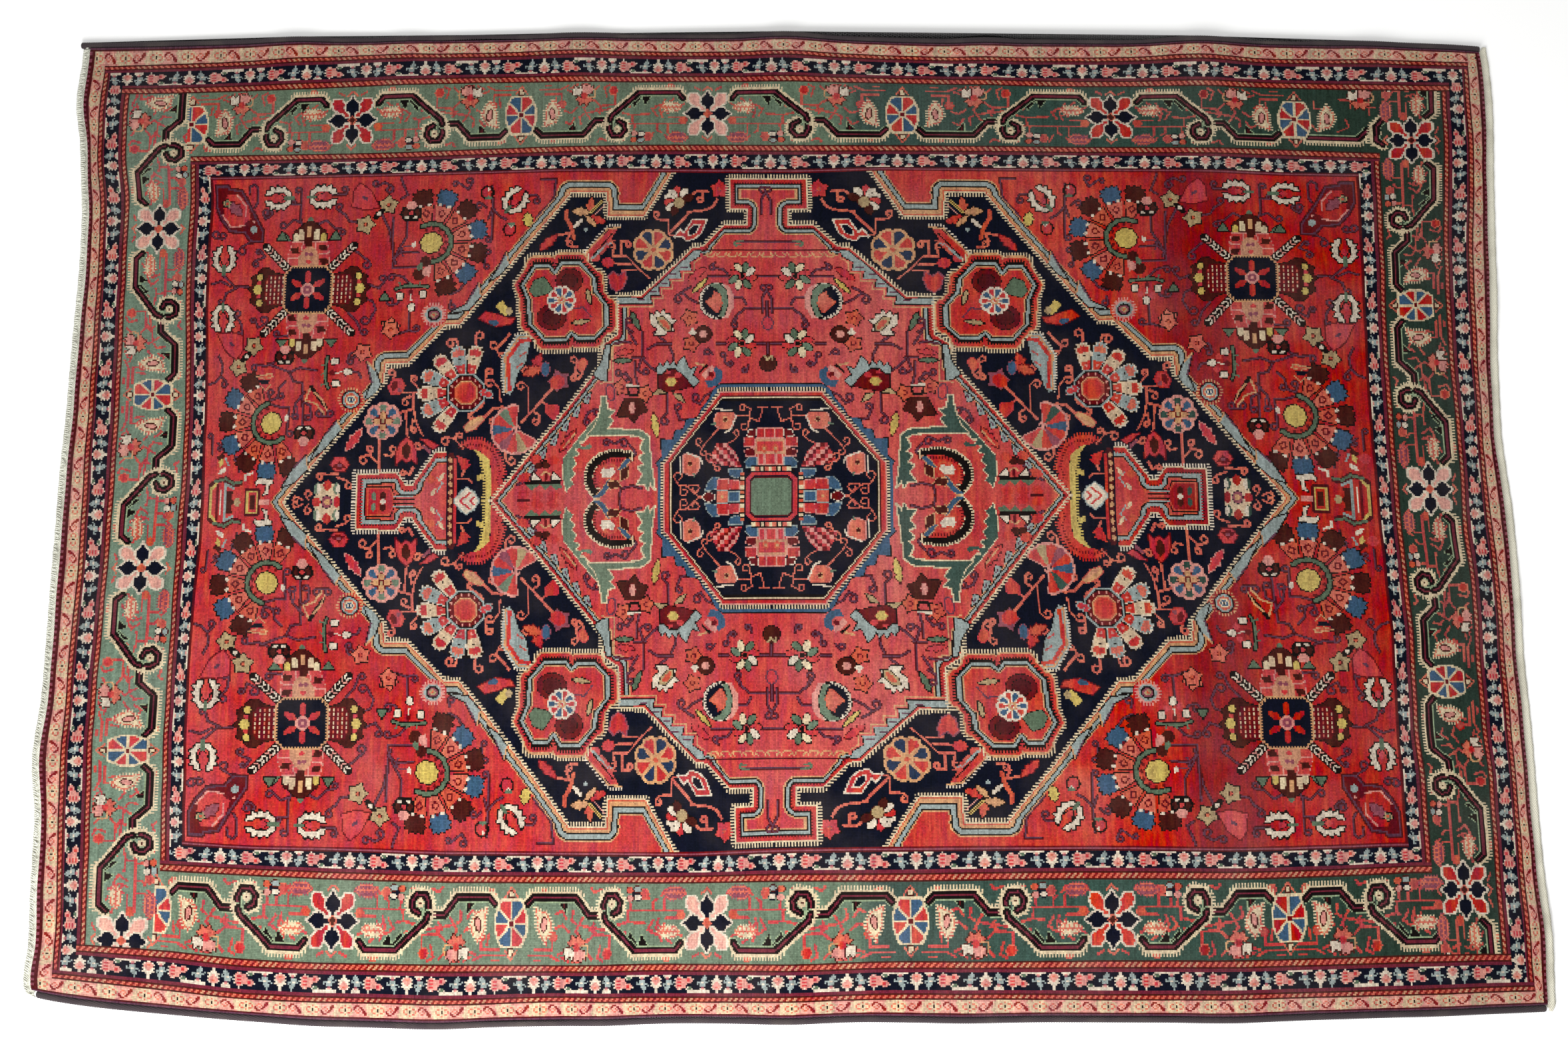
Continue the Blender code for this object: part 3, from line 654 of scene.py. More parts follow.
    # above the lobes
    for x, y, turn, yarn in ((-270, 428, 80, "orange"), (-258, 408, -20, "red"), (-284, 420, 175, "gold")):
        leaf(spot(x, y, turn), yarn, "black", 14, 7)
    line("yellow", [(-268, 420), (-252, 436)], 5.0)
    line("brown", [(-268, 420), (-252, 436)], 2.15)
    line("pink", [(-262, 416), (-248, 430)], 2.4)
    leaf(spot(-268, 405, -45), "gold", "black", 12, 5)
    leaf(spot(-288, 402, 225), "white", "black", 12, 4)
    fill("sky", oval(3.5, 3.5, (-276, 393), count=6))
    leaf(spot(-331, 374, 42), "red", "wine", 17, 7)
    line("orange", [(-306, 420), (-306, 410), (-298, 396), (-294, 380)], 6.0)
    wheel(spot(-173, 362, 22.5), 30, 31, 8, "dusk", "red", "gold", "orange", 0.10, 0.84)
    # the flower with white and green petals
    for angle, yarn in ((100, "rose"), (60, "white"), (130, "white"), (160, "white"), (185, "red"), (215, "white"),
                        (245, "brown"), (20, "brown")):
        edged(yarn, "black", oval(9, 6, (15 * math.cos(math.radians(angle)) - 134, 15 * math.sin(math.radians(angle)) + 436),
                                  angle, 8), asDrawn, 1.0)
    edged("olive", "brown", oval(8, 8, (-134, 434)), asDrawn, 1.4)
    # the flower with the diamond
    edged("red", "white", [(-140, 382), (-131, 392), (-126, 386), (-112, 408), (-92, 408), (-96, 398), (-100, 388), (-110, 380),
                           (-122, 376), (-128, 384)], asDrawn, 2.2)
    edged("navy", "white", [(-119, 390), (-110, 400), (-102, 400), (-108, 388), (-118, 384)], asDrawn, 1.4)
    star8(spot(-72, 455), "rose", "mauve", 15)
    fill("red", oval(5, 7, (-68, 460), 20, 8))
    # the tulip under the shoulder and its mates
    edged("red", "mauve", [(-240, 322), (-236, 306), (-228, 300), (-220, 304), (-214, 318), (-216, 328), (-226, 322),
                           (-234, 328)], asDrawn, 2)
    edged("rose", "red", oval(9, 7, (-242, 343), count=8), asDrawn, 1)


def lobedRose():
    edge = lobes
    fill("red", edge)
    for yarn, points in (("green", [(-352, 316), (-338, 322), (-330, 312), (-324, 302), (-334, 296), (-350, 292), (-358, 302)]),
                         ("wine", oval(20, 18, (-300, 316))), ("wine", oval(21, 18, (-325, 262))),
                         ("maroon", oval(13, 11, (-325, 262))), ("maroon", oval(12, 10, (-300, 316)))):
        edged(yarn, "black", points, asDrawn, 1.0)
    leaf(spot(-270, 292, -75), "olive", "black", 12, 4)
    leaf(spot(-282, 255, 8), "olive", "black", 14, 4)
    line("plum", [(-300, 274), (-278, 276), (-266, 262)], 2.2)
    wheel(spot(-311, 287), 19.5, 19.5, 10, "red", "blue", "white", "red", 0.08, 0.8)
    line("gold", oval(4.5, 4.5, (-311, 287), count=8), 3.0, asDrawn, True)
    bands(edge, (("sky", 4.6), ("black", 2.1), ("gold", 2.1)), False)
    bands(edge, (("black", 3.4), ("red", 7.2), ("gold", 2.4)))
    teeth("black", edge, 3.2, 3.4, True, "out")
    teeth("cream", edge, 5.0, 13.0, True, "out")


def coralGround():
    fill("coral", coralEdge)
    bands(coralEdge, (("cream", 2.1), ("red", 5.2), ("black", 2.0), ("sky", 3.8), ("black", 2.1), ("gold", 2.1)), False)
    teeth("wine", coralEdge, 2.2, 5.2, True, "in")
    teeth("cream", coralEdge[:14], 5.4, 0, False, "left")
    steps = [(-228, 291), (-228, 281), (-175, 281), (-178, 293), (-163, 293), (-166, 307), (-148, 307), (-150, 319),
             (-131, 319), (-134, 331), (-116, 331), (-119, 343), (-104, 352), (-100, 361), (-112, 360), (-188, 288)]
    fill("coral", [(u + 3, v - 4) for u, v in steps])
    edged("sky", "black", steps, asDrawn, 1.4)
    line("gold", [(-224, 277), (-171, 277), (-172, 289), (-158, 289), (-160, 303), (-144, 303), (-145, 315), (-127, 315),
                  (-128, 327), (-111, 327), (-112, 342), (-100, 350)], 2.0)
    for u, v in ((-190, 286), (-172, 299), (-156, 312), (-144, 325), (-126, 336)):
        line("plum", [(u - 5, v), (u + 5, v)], 2.0)
    for u, v in ((-358, 40), (-342, 60), (-326, 79), (-310, 99), (-294, 119), (-278, 138)):
        edged("sky", "black", [(u, v), (u + 8, v - 2), (u + 12, v + 16), (u + 3, v + 8)], asDrawn, 1.0)
        line("plum", [(u + 5, v + 4), (u + 8, v + 8)], 2.0)
    for flame in (((-243, 168), (-238, 221), (-244, 220), (-250, 196), (-262, 178), (-250, 170)),):
        edged("sky", "black", list(flame), asDrawn, 2.0)
        line("gold", [(-234, 221), (-234, 167), (-252, 166)], 2.0)
    for step in range(7):
        line("gold", [(-90 + 17 * step, 357), (-94 + 17 * step, 354), (-90 + 17 * step, 351), (-83 + 17 * step, 351),
                      (-79 + 17 * step, 357)], 2.15)
    line("maroon", [(-97, 361), (4, 361)], 2.15)
    line("maroon", [(-46, 375), (4, 375)], 4.4)
    line("plum", [(-40, 374), (4, 374)], 2.15)
    line("green", [(-40, 370), (-48, 369), (-50, 374), (-36, 376)], 3.0)
    for points, ends in coralTendrils:
        tendril(points, "maroon", "plum", 4.4, ends)
    # the round tulip and the white one
    edged("white", "black", oval(26, 27, (-77, 285)), asDrawn, 1.0)
    fill("navy", oval(21, 23, (-77, 285)))
    teeth("navy", oval(21, 23, (-77, 285)), 3.4, 0, True, "out")
    fill("pink", [(-68, 312), (-57, 306), (-51, 294), (-51, 276), (-60, 260), (-68, 258), (-62, 274), (-62, 298)])
    edged("sage", "black", [(-88, 309), (-72, 310), (-62, 300), (-59, 282), (-66, 262), (-74, 260), (-68, 276), (-70, 294),
                            (-78, 303)], asDrawn, 1.0)
    edged("salmon", "orange", [(-92, 284), (-82, 290), (-80, 298), (-72, 294), (-69, 282), (-76, 268), (-86, 276)],
          asDrawn, 1.4)
    edged("white", "black", [(-178, 268), (-172, 263), (-167, 271), (-162, 266), (-157, 272), (-154, 265), (-148, 267),
                             (-147, 259), (-138, 256), (-145, 249), (-142, 240), (-150, 244), (-156, 234), (-172, 235),
                             (-166, 244), (-176, 250)], asDrawn, 1.4)
    edged("olive", "black", [(-168, 260), (-158, 262), (-146, 250), (-146, 240), (-154, 242), (-164, 250)], asDrawn, 1.2)
    fill("orange", [(-164, 257), (-156, 258), (-148, 248), (-150, 242), (-158, 248)])
    edged("brown", "black", oval(13, 12, (-98, 236)), asDrawn, 1.0)
    fill("pink", oval(6, 6, (-98, 236), count=8))
    fill("white", [(-120, 238), (-114, 246), (-108, 238), (-112, 230)])
    for u, v, turn in ((-118, 260, 20), (-116, 222, 200), (-219, 160, 0), (-186, 150, 120)):
        star8(spot(u, v, turn), "orange", "wine", 13)
    for u, v in ((-38, 322), (-40, 222)):
        for angle, yarn in ((70, "green"), (115, "cream"), (160, "rose"), (200, "sage"), (245, "cream"), (300, "green"),
                            (350, "rose"), (30, "white")):
            cosine, sine = math.cos(math.radians(angle)), math.sin(math.radians(angle))
            edged(yarn, "black", oval(8.5, 4.8, (u + 14 * cosine, v + 14 * sine), angle + 15, 8), asDrawn, 1.2)
        fill("black", oval(4, 4, (u, v), count=6))
    # the palmette with the pale crown
    edged("wine", "black", [(-166, 178), (-165, 156), (-152, 152), (-130, 156), (-108, 162), (-120, 172), (-134, 180),
                            (-142, 186), (-150, 182)], asDrawn, 1.2)
    crownEdge = [(-166, 178), (-168, 186), (-162, 194), (-158, 188), (-152, 197), (-147, 190), (-142, 197), (-138, 188),
                 (-134, 196), (-126, 203), (-122, 192), (-118, 184), (-108, 188), (-114, 176), (-104, 168), (-112, 158),
                 (-120, 168), (-126, 176), (-140, 186), (-152, 186), (-160, 178)]
    edged("sky", "black", crownEdge, asDrawn, 1.4)
    fill("rose", oval(5, 3, (-150, 180), count=6))
    fill("rose", oval(6, 4, (-136, 176), count=6))
    edged("yellow", "orange", oval(8, 7, (-146, 167), count=6), asDrawn, 0.8)
    for tip in (((-174, 148), (-164, 157), (-154, 150)), ((-144, 150), (-132, 148), (-126, 136), (-136, 140))):
        edged("olive", "black", list(tip), asDrawn, 1.2)
    # the small snail
    fill("blue", [(-96, 168), (-90, 158), (-78, 160), (-70, 170), (-70, 182), (-78, 188), (-84, 186), (-78, 176), (-84, 168)])
    fill("pink", [(-100, 176), (-92, 186), (-84, 190), (-80, 184), (-88, 176), (-94, 170)])
    fill("wine", oval(5, 4, (-86, 177), -30, 6))
    line("gold", [(-108, 193), (-96, 190)], 3.0)
    line("black", [(-103, 181), (-92, 190)], 3.4)
    # the maple leaf
    edged("brown", "black", [(-228, 118), (-222, 130), (-216, 143), (-192, 143), (-184, 130), (-182, 124), (-194, 120),
                             (-202, 108), (-210, 116)], asDrawn, 1.2)
    edged("pink", "wine", oval(5, 9, (-205, 129), count=6), asDrawn, 0.8)
    line("black", [(-212, 160), (-194, 160), (-196, 148), (-208, 148)], 2.6, asDrawn, True)
    line("white", [(-212, 162), (-195, 161)], 3.2)
    leaf(spot(-218, 198, 0), "green", "black", 14, 4)
    leaf(spot(-216, 210, 10), "rose", "maroon", 14, 5)
    edged("rose", "plum", oval(6, 11, (-237, 152), 10, 8), asDrawn, 2)
    leaf(spot(-170, 104, -80), "yellow", "maroon", 18, 6)
    leaf(spot(-106, 326, 35), "rose", "maroon", 17, 6)
    leaf(spot(-102, 308, 45), "yellow", "black", 16, 4)
    leaf(spot(-200, 256, -65), "green", "black", 15, 5)
    # the green bracket with its saw edges
    bracket = [(-283, 80), (-262, 100), (-252, 126), (-250, 146), (-245, 146), (-242, 128), (-232, 125), (-240, 117),
               (-234, 112), (-242, 100), (-190, 96), (-180, 88), (-176, 40), (-172, 12), (-178, 22), (-182, 12),
               (-186, 20), (-198, 20), (-188, 34), (-196, 44), (-186, 48), (-194, 58), (-186, 64), (-192, 72), (-186, 84),
               (-196, 90), (-268, 92), (-278, 82)]
    edged("sage", "cream", bracket, asDrawn, 2.2)
    edged("sage", "cream", [(-303, 12), (-308, 32), (-307, 58), (-286, 84), (-262, 112), (-256, 118), (-262, 104),
                            (-272, 92), (-276, 82), (-284, 84), (-280, 74), (-290, 72), (-284, 64), (-293, 60), (-288, 50),
                            (-296, 44), (-290, 36), (-298, 30), (-293, 22), (-300, 16)], asDrawn, 1.2)
    fill("sage", [(-284, 76), (-276, 74), (-268, 79), (-264, 74), (-270, 70), (-280, 71)])
    # the black saw round the red flower, open to the right
    ring = [(-210, 60), (-232, 63), (-250, 58), (-264, 47), (-269, 34), (-267, 20), (-258, 8)]
    line("cream", ring, 17.5)
    line("black", ring, 9.0)
    teeth("black", ring, 5.4, 4.0, False, "right")
    fill("red", [(-214, 58), (-234, 59), (-250, 53), (-260, 43), (-264, 30), (-260, 16), (-240, 14), (-216, 36)])
    teeth("wine", ring, 5.0, 6.0, False, "left")
    fill("orange", oval(13, 13, (-238, 38), count=8))
    fill("red", oval(9, 9, (-236, 38), count=8))
    fill("white", [(-252, 38), (-248, 44), (-240, 42), (-234, 46), (-230, 38), (-238, 30), (-250, 31)])
    edged("blue", "gold", [(-226, 42), (-214, 56), (-206, 57), (-220, 38)], asDrawn, 1.2)
    edged("brown", "gold", [(-222, 40), (-210, 46), (-212, 30), (-222, 26)], asDrawn, 1.2)
    edged("blue", "gold", [(-262, 3), (-250, 14), (-240, 28), (-233, 24), (-246, 8), (-254, 1)], asDrawn, 1.2)
    edged("brown", "gold", [(-242, 24), (-228, 26), (-222, 17), (-238, 14)], asDrawn, 1.2)
    # white and green on the axis near the tip
    for x in (-346, -318):
        edged("white", "black", [(x - 7, 28), (x - 4, 40), (x + 2, 34), (x + 7, 28)], asDrawn, 1.2)
    line("black", [(-362, 24), (-312, 24)], 3.0)
    fill("green", [(-362, 22), (-352, 14), (-346, 18), (-340, 22), (-332, 14), (-326, 22), (-318, 14), (-308, 18), (-314, 23)])
    for x in (-332, -342):
        edged("brown", "black", oval(6, 6, (x, 50), count=6), asDrawn, 1)
    for x, y in ((-346, 58), (-322, 56), (-364, 32), (-364, 8), (-344, 6), (-322, 6)):
        fill("red", oval(9, 7, (x, y), 20, 6))
    line("wine", [(-332, 29), (-332, 36)], 4.0)
    line("gold", [(-338, 36), (-332, 40), (-326, 36)], 2.6)
    line("maroon", [(-372, 1), (-356, 1)], 2.6)
    leaf(spot(-300, 84, 52), "red", "maroon", 20, 6)
    line("gold", [(-306, 74), (-290, 94)], 2.2)


def octagon():
    edge = [(-158, -40), (-158, 48), (-72, 152), (50, 152), (50, -40)]
    edged("blue", "black", [(-166, -40), (-166, 42), (-170, 50), (-160, 58), (-162, 84), (-144, 82), (-140, 96), (-128, 98),
                            (-124, 112), (-108, 114), (-98, 132), (-92, 138), (-82, 156), (-72, 163), (50, 163),
                            (50, -40)], asDrawn, 1.0)
    fill("navy", edge)
    teeth("cream", edge, 5.4, 0, True, "out", "navy")
    bands(edge, (("pink", 2.1), ("red", 4.8), ("maroon", 2.0), ("cream", 2.1), ("black", 2.2)), False)
    for points, ends in octagonTendrils:
        tendril(points, None, "salmon", 3.8, ends)
    # pink and wine checks
    rows, columns, u, v = knotsOf([(-90, 40), (-40, 80)], 2)
    diamond = inside([(-91, 50), (-78, 78), (-62, 76), (-50, 62), (-42, 42), (-66, 44)], u, v)
    which = (np.floor((u + 90) / 5.2) + np.floor((v - 40) / 5.2)).astype(int) % 3
    for number, yarn in enumerate(("wine", "pink", "rose")):
        chart[rows, columns][diamond & (which == number)] = yarnNumber[yarn]
    for u, v, turn in ((-66, 110, 0), (-118, 48, 90)):
        to = spot(u, v, turn)
        edged("salmon", "pink", [(-15, 3), (-12, 11), (12, 11), (15, 4), (9, -12), (-7, -12), (-15, -6)], to, 1.6)
        edged("brown", "gold", oval(3, 3, (0, 1), count=6), to, 1.2)
        line("white", [(16, 6), (8, -14), (0, -18)], 2.4, to)
        line("white", [(-14, 16), (10, 15)], 2.2, to)
        fill("sage", [(-22, -6), (-14, -2), (-14, -6)], to)
    # the arm of flowers above the green square
    to = spot(-8, 0, 90)
    edged("tan", "pink", [(42, -17), (78, -17), (84, -10), (84, 10), (78, 17), (42, 17)], to, 1.0)
    fill("coral", [(44, -12), (60, -12), (60, 12), (44, 12)], to)
    fill("rose", [(64, -10), (80, -10), (80, 10), (64, 10)], to)
    fill("orange", oval(6, 5, (69, 0), count=6), to)
    fill("gold", oval(2.4, 2.4, (69, 0), count=6), to)
    for side in (-1, 1):
        edged("blue", "sky", [(42, 12 * side), (42, 27 * side), (50, 29 * side), (57, 22 * side), (56, 12 * side)], to, 1.2)
        edged("wine", "pink", [(58, 14 * side), (58, 27 * side), (66, 29 * side), (70, 16 * side)], to, 1.2)
        edged("red", "pink", [(72, 14 * side), (72, 30 * side), (84, 29 * side), (88, 15 * side)], to, 1.2)
        edged("wine", "white", [(88, 12 * side), (86, 26 * side), (95, 22 * side), (97, 12 * side)], to, 1.2)
        edged("red", "pink", [(86, 1 * side), (86, 10 * side), (98, 10 * side), (98, 1 * side)], to, 1.2)
        edged("rose", "pink", [(46, 2 * side), (46, 9 * side), (60, 9 * side), (60, 2 * side)], to, 1.2)
    # the shorter one at its side
    to = asDrawn
    edged("blue", "sky", [(-96, 9), (-92, 22), (-84, 28), (-76, 26), (-78, 12)], to, 1.4)
    edged("blue", "sky", [(-62, 39), (-42, 39), (-42, 31), (-50, 27), (-60, 31)], to, 1.2)
    edged("red", "pink", [(-79, 11), (-77, 25), (-63, 25), (-61, 11)], to, 1.2)
    edged("rose", "pink", [(-60, 11), (-61, 24), (-46, 22), (-46, 11)], to, 1.2)
    edged("salmon", "sky", [(-79, -40), (-79, 8), (-64, 8), (-64, -40)], to, 1.2)
    edged("blue", "sky", [(-61, -40), (-61, 7), (-46, 7), (-46, -40)], to, 1.2)
    fill("gold", oval(2.6, 2.6, (-71, 0), count=6))
    edged("wine", "white", [(-100, -40), (-100, 2), (-92, 7), (-83, 3), (-82, -40)], to, 1.2)
    line("rose", [(-34, -40), (-34, 24), (-26, 32), (50, 32)], 5.0, to)
    edged("sage", "maroon", [(-29, -40), (-29, 20), (-23, 26), (50, 26), (50, -40)], to, 2.0)
    fill("black", [(-45, -40), (-45, 30), (-38, 37), (-38, -40)], to)
    fill("black", [(-34, 34), (-28, 44), (50, 44), (50, 36), (-30, 36)], to)
    for step in range(4):
        x = -28 + 13.4 * step
        fill("cream", [(x, 36), (x + 5, 36), (x + 5, 42), (x, 42)], to)
        fill("salmon", [(x + 6.6, 36), (x + 11.6, 36), (x + 11.6, 42), (x + 6.6, 42)], to)
    for step in range(3):
        y = -3 + 13.4 * step
        fill("cream", [(-44, y), (-38, y), (-38, y + 5), (-44, y + 5)], to)
        fill("orange", [(-44, y + 6.6), (-38, y + 6.6), (-38, y + 11.6), (-44, y + 11.6)], to)


def vase():
    # the coral vase at each tip: its comb and bands, then its open right end against the navy
    edge = [(-601, -40), (-601, 41), (-543, 42), (-530, 24), (-522, 24), (-488, 71), (-430, 72), (-430, -40)]
    fill("coral", edge)
    bands(edge, (("cream", 2.1), ("red", 5.4), ("black", 2.0), ("sky", 5.0), ("black", 2.1), ("orange", 2.1)), False)
    teeth("red", edge, 2.1, 7.5, True, "in")
    teeth("white", edge[:7], 5.4, 0, False, "left", "navy")
    fill("navy", [(-472, -40), (-472, 84), (-420, 84), (-420, -40)])
    edged("red", "black", [(-586, -40), (-586, 21), (-552, 21), (-545, 6), (-545, -40)], asDrawn, 1.4)
    line("orange", [(-584, -40), (-584, 19), (-553, 19), (-547, 6)], 2.15)
    fill("coral", [(-545, 2), (-545, -2), (-520, -2), (-520, 2)])
    line("black", [(-546, 3), (-518, 3)], 2.15)
    line("black", [(-544, 10), (-522, 10)], 2.15)
    line("sky", [(-546, 7), (-520, 7)], 3.4)
    line("sky", [(-486, 34), (-478, 26), (-486, 14)], 2.4)
    fill("sage", oval(3.6, 6, (-575, 8), count=6))
    fill("brown", oval(5, 6, (-562, 8), count=6))
    fill("white", oval(4.4, 4.0, (-562, 0), count=8))
    fill("sage", oval(3.6, 6, (-575, -6), count=6))
    for x, y in ((-480, 34), (-492, 12)):
        fill("ecru", [(x - 4, y - 6), (x - 1, y + 5), (x + 5, y + 6), (x + 2, y - 3)])
    fill("orange", oval(7, 6, (-494, 31), 30, 6))
    line("maroon", [(-466, -8), (-466, 64)], 10.0)
    line("red", [(-460, -8), (-460, 60)], 2.4)
    for step in range(6):
        fill("gold", oval(2.8, 5, (-467, 1 + 11.5 * step), count=6))


def pendants():
    # the arms that reach from the lobed rose into the navy
    arm = [(-393, 155), (-396, 205), (-374, 238), (-352, 236), (-356, 224), (-362, 196), (-372, 182), (-378, 158),
           (-384, 150)]
    edged("sky", "black", arm, asDrawn, 1.0)
    line("red", [(-384, 158), (-387, 204), (-370, 228), (-356, 230)], 5.4)
    line("gold", [(-389, 155), (-391, 206), (-372, 233), (-352, 236)], 2.6)
    teeth("white", [(-391, 155), (-393, 206), (-374, 237), (-352, 238)], 4.6, 0, False, "left")
    for x, y in ((-370, 206), (-374, 190)):
        line("rust", [(x, y), (x + 8, y + 6)], 2.4)
    upper = [(-276, 356), (-240, 392), (-226, 396), (-236, 380), (-240, 366), (-256, 356), (-254, 346), (-268, 344)]
    edged("coral", "black", upper, asDrawn, 1.0)
    line("sky", [(-266, 350), (-252, 362), (-238, 374)], 4.4)
    line("black", [(-264, 354), (-236, 386)], 2.15)
    line("red", [(-270, 354), (-238, 390)], 4.6)
    line("gold", [(-276, 357), (-242, 394), (-224, 396)], 2.6)
    teeth("white", [(-277, 358), (-243, 396), (-224, 398)], 4.6, 0, False, "left")
    line("rust", [(-252, 358), (-240, 374), (-232, 376)], 2.4)
    line("rust", [(-262, 348), (-246, 362)], 2.4)


navyTendrils = (
    (((-470, 234), (-462, 234), (-458, 220)), (("first", 6, 1),)),
    (((-434, 226), (-434, 238)), (("last", 6, -1),)),
    (((-385, 240), (-392, 232), (-404, 220)), (("last", 6, -1),)),
    (((-404, 218), (-400, 208)), (("last", 4, 1),)),
    (((-550, 178), (-548, 186)), (("last", 5, 1),)),
    (((-510, 158), (-518, 168), (-524, 174)), (("last", 5, -1),)),
    (((-508, 158), (-540, 158)), ()),
    (((-522, 158), (-522, 134), (-542, 128)), ()),
    (((-535, 148), (-526, 152)), (("first", 5, 1),)),
    (((-532, 128), (-530, 98), (-528, 92)), ()),
    (((-521, 134), (-518, 116), (-508, 96)), ()),
    (((-522, 118), (-524, 104)), (("last", 4, 1),)),
    (((-568, 88), (-568, 46)), ()),
    (((-568, 54), (-582, 68), (-592, 66)), (("last", 6, 1),)),
    (((-582, 68), (-578, 74)), (("last", 5, 1),)),
    (((-626, 42), (-640, 40), (-652, 42)), (("last", 5, 1),)),
    (((-628, 36), (-616, 32), (-610, 28)), (("last", 5, -1),)),
    (((-668, 4), (-672, 10)), (("last", 5, -1),)),
    (((-676, 4), (-684, 8)), (("last", 5, 1),)),
    (((-546, 72), (-552, 66), (-560, 68)), (("first", 5, 1),)),
    (((-512, 76), (-504, 80)), (("first", 5, -1),)),
    (((-532, 44), (-526, 38), (-520, 50)), (("first", 4, 1),)),
    (((-450, 76), (-462, 90), (-474, 92)), (("last", 6, 1),)),
    (((-462, 90), (-458, 96)), (("last", 4, -1),)),
    (((-442, 124), (-424, 136), (-420, 148)), (("first", 4, 1),)),
    (((-420, 158), (-418, 186)), (("last", 5, -1),)),
    (((-398, 142), (-399, 160), (-408, 172)), (("last", 6, 1),)),
    (((-420, 120), (-408, 132), (-394, 134)), ()),
    (((-396, 116), (-408, 118)), (("last", 5, 1),)),
    (((-388, 74), (-390, 60), (-386, 54)), (("last", 6, 1),)),
    (((-458, 32), (-442, 32), (-437, 26)), ()),
    (((-452, 36), (-448, 44)), ()),
    (((-368, 112), (-350, 130), (-326, 158), (-320, 163)), ()),
    (((-358, 122), (-358, 162), (-364, 168)), (("last", 6, 1),)),
    (((-364, 182), (-358, 180)), (("first", 5, -1),)),
    (((-350, 126), (-342, 122), (-343, 112)), (("last", 5, -1),)),
    (((-340, 144), (-334, 136)), ()),
    (((-296, 176), (-290, 182), (-288, 200)), (("last", 5, 1), ("first", 4, 1))),
    (((-282, 176), (-279, 184)), (("first", 5, -1),)),
    (((-320, 385), (-300, 388), (-306, 376)), ()),
    (((-300, 368), (-288, 368)), (("first", 5, -1),)),
    (((-236, 354), (-215, 354), (-196, 334), (-180, 320)), ()),
    (((-232, 342), (-208, 341)), ()),
    (((-218, 332), (-200, 332)), (("first", 4, 1),)),
    (((-222, 356), (-222, 376), (-212, 376)), (("last", 5, -1),)),
    (((-236, 356), (-232, 368)), (("last", 5, 1),)),
    (((-150, 388), (-150, 408), (-168, 409), (-172, 414)), (("last", 5, -1),)),
    (((-148, 388), (-118, 420)), ()),
    (((-122, 420), (-92, 424), (-82, 430), (-76, 440)), ()),
    (((-90, 452), (-108, 452), (-116, 446)), ()),
    (((-98, 452), (-98, 440)), (("last", 5, -1),)),
    (((-148, 385), (-134, 383)), ()),
)
coralTendrils = (
    (((-86, 338), (-80, 342)), (("first", 4, 1),)),
    (((-78, 334), (-66, 332), (-60, 324), (-50, 323)), ()),
    (((-90, 322), (-60, 322)), ()),
    (((-22, 322), (4, 322)), ()),
    (((-52, 290), (-38, 290), (-32, 280)), ()),
    (((-4, 274), (-34, 274), (-48, 262), (-54, 252)), (("last", 5, 1),)),
    (((-106, 282), (-118, 288), (-130, 298), (-138, 292)), (("last", 6, 1),)),
    (((-128, 299), (-116, 306)), ()),
    (((-172, 238), (-150, 222), (-143, 206), (-142, 198)), ()),
    (((-182, 214), (-168, 222), (-146, 222)), ()),
    (((-190, 240), (-190, 202), (-176, 188), (-168, 182)), ()),
    (((-232, 222), (-216, 226), (-206, 224)), ()),
    (((-210, 240), (-198, 222)), ()),
    (((-204, 202), (-186, 202)), ()),
    (((-190, 200), (-196, 184), (-186, 178)), (("last", 5, 1),)),
    (((-200, 196), (-200, 178), (-196, 164)), ()),
    (((-222, 176), (-214, 180), (-206, 170)), (("first", 5, -1), ("last", 5, -1))),
    (((-214, 256), (-214, 246), (-204, 240)), (("first", 5, -1),)),
    (((-60, 190), (-66, 196), (-64, 204)), (("last", 4, 1), ("first", 4, 1))),
    (((-32, 182), (-30, 190)), (("first", 4, -1),)),
    (((-88, 212), (-84, 206)), (("first", 5, 1),)),
    (((-78, 222), (-64, 222)), ()),
    (((-24, 222), (4, 222)), ()),
    (((-86, 150), (-96, 146), (-104, 134), (-112, 138)), (("last", 6, -1),)),
    (((-152, 148), (-152, 122), (-160, 114)), (("last", 6, 1),)),
    (((-140, 128), (-134, 112), (-120, 110)), (("first", 5, -1),)),
    (((-276, 112), (-270, 124), (-260, 128)), (("first", 5, 1), ("last", 5, -1))),
    (((-240, 84), (-230, 78), (-220, 84)), (("first", 5, 1), ("last", 6, -1))),
    (((-208, 76), (-200, 66)), (("last", 4, -1),)),
    (((-222, 14), (-206, 18), (-192, 14)), ()),
    (((-224, 2), (-222, 14)), ()),
    (((-372, 22), (-356, 30), (-346, 44)), ()),
    (((-50, 252), (-46, 262)), ()),
)
octagonTendrils = (
    (((-124, 16), (-136, 18), (-142, 26)), (("last", 7, -1),)),
    (((-134, 16), (-134, 8)), (("last", 6, 1),)),
    (((-122, 16), (-112, 18)), (("last", 6, -1),)),
    (((-124, 16), (-108, 2), (-98, 0)), ()),
    (((-76, 98), (-98, 74), (-102, 66)), (("last", 5, 1),)),
    (((-100, 70), (-108, 76)), (("last", 5, -1),)),
    (((-64, 76), (-54, 80), (-46, 88)), (("last", 5, 1),)),
    (((-90, 50), (-94, 54)), (("last", 5, -1),)),
    (((-84, 48), (-82, 40)), (("last", 4, 1),)),
    (((-48, 117), (-30, 116), (-28, 126), (-38, 132)), (("last", 5, 1),)),
    (((-30, 114), (-16, 108), (-12, 120), (-10, 128)), ()),
    (((-30, 112), (-32, 100)), (("last", 6, -1),)),
    (((-18, 128), (-2, 128)), ()),
)


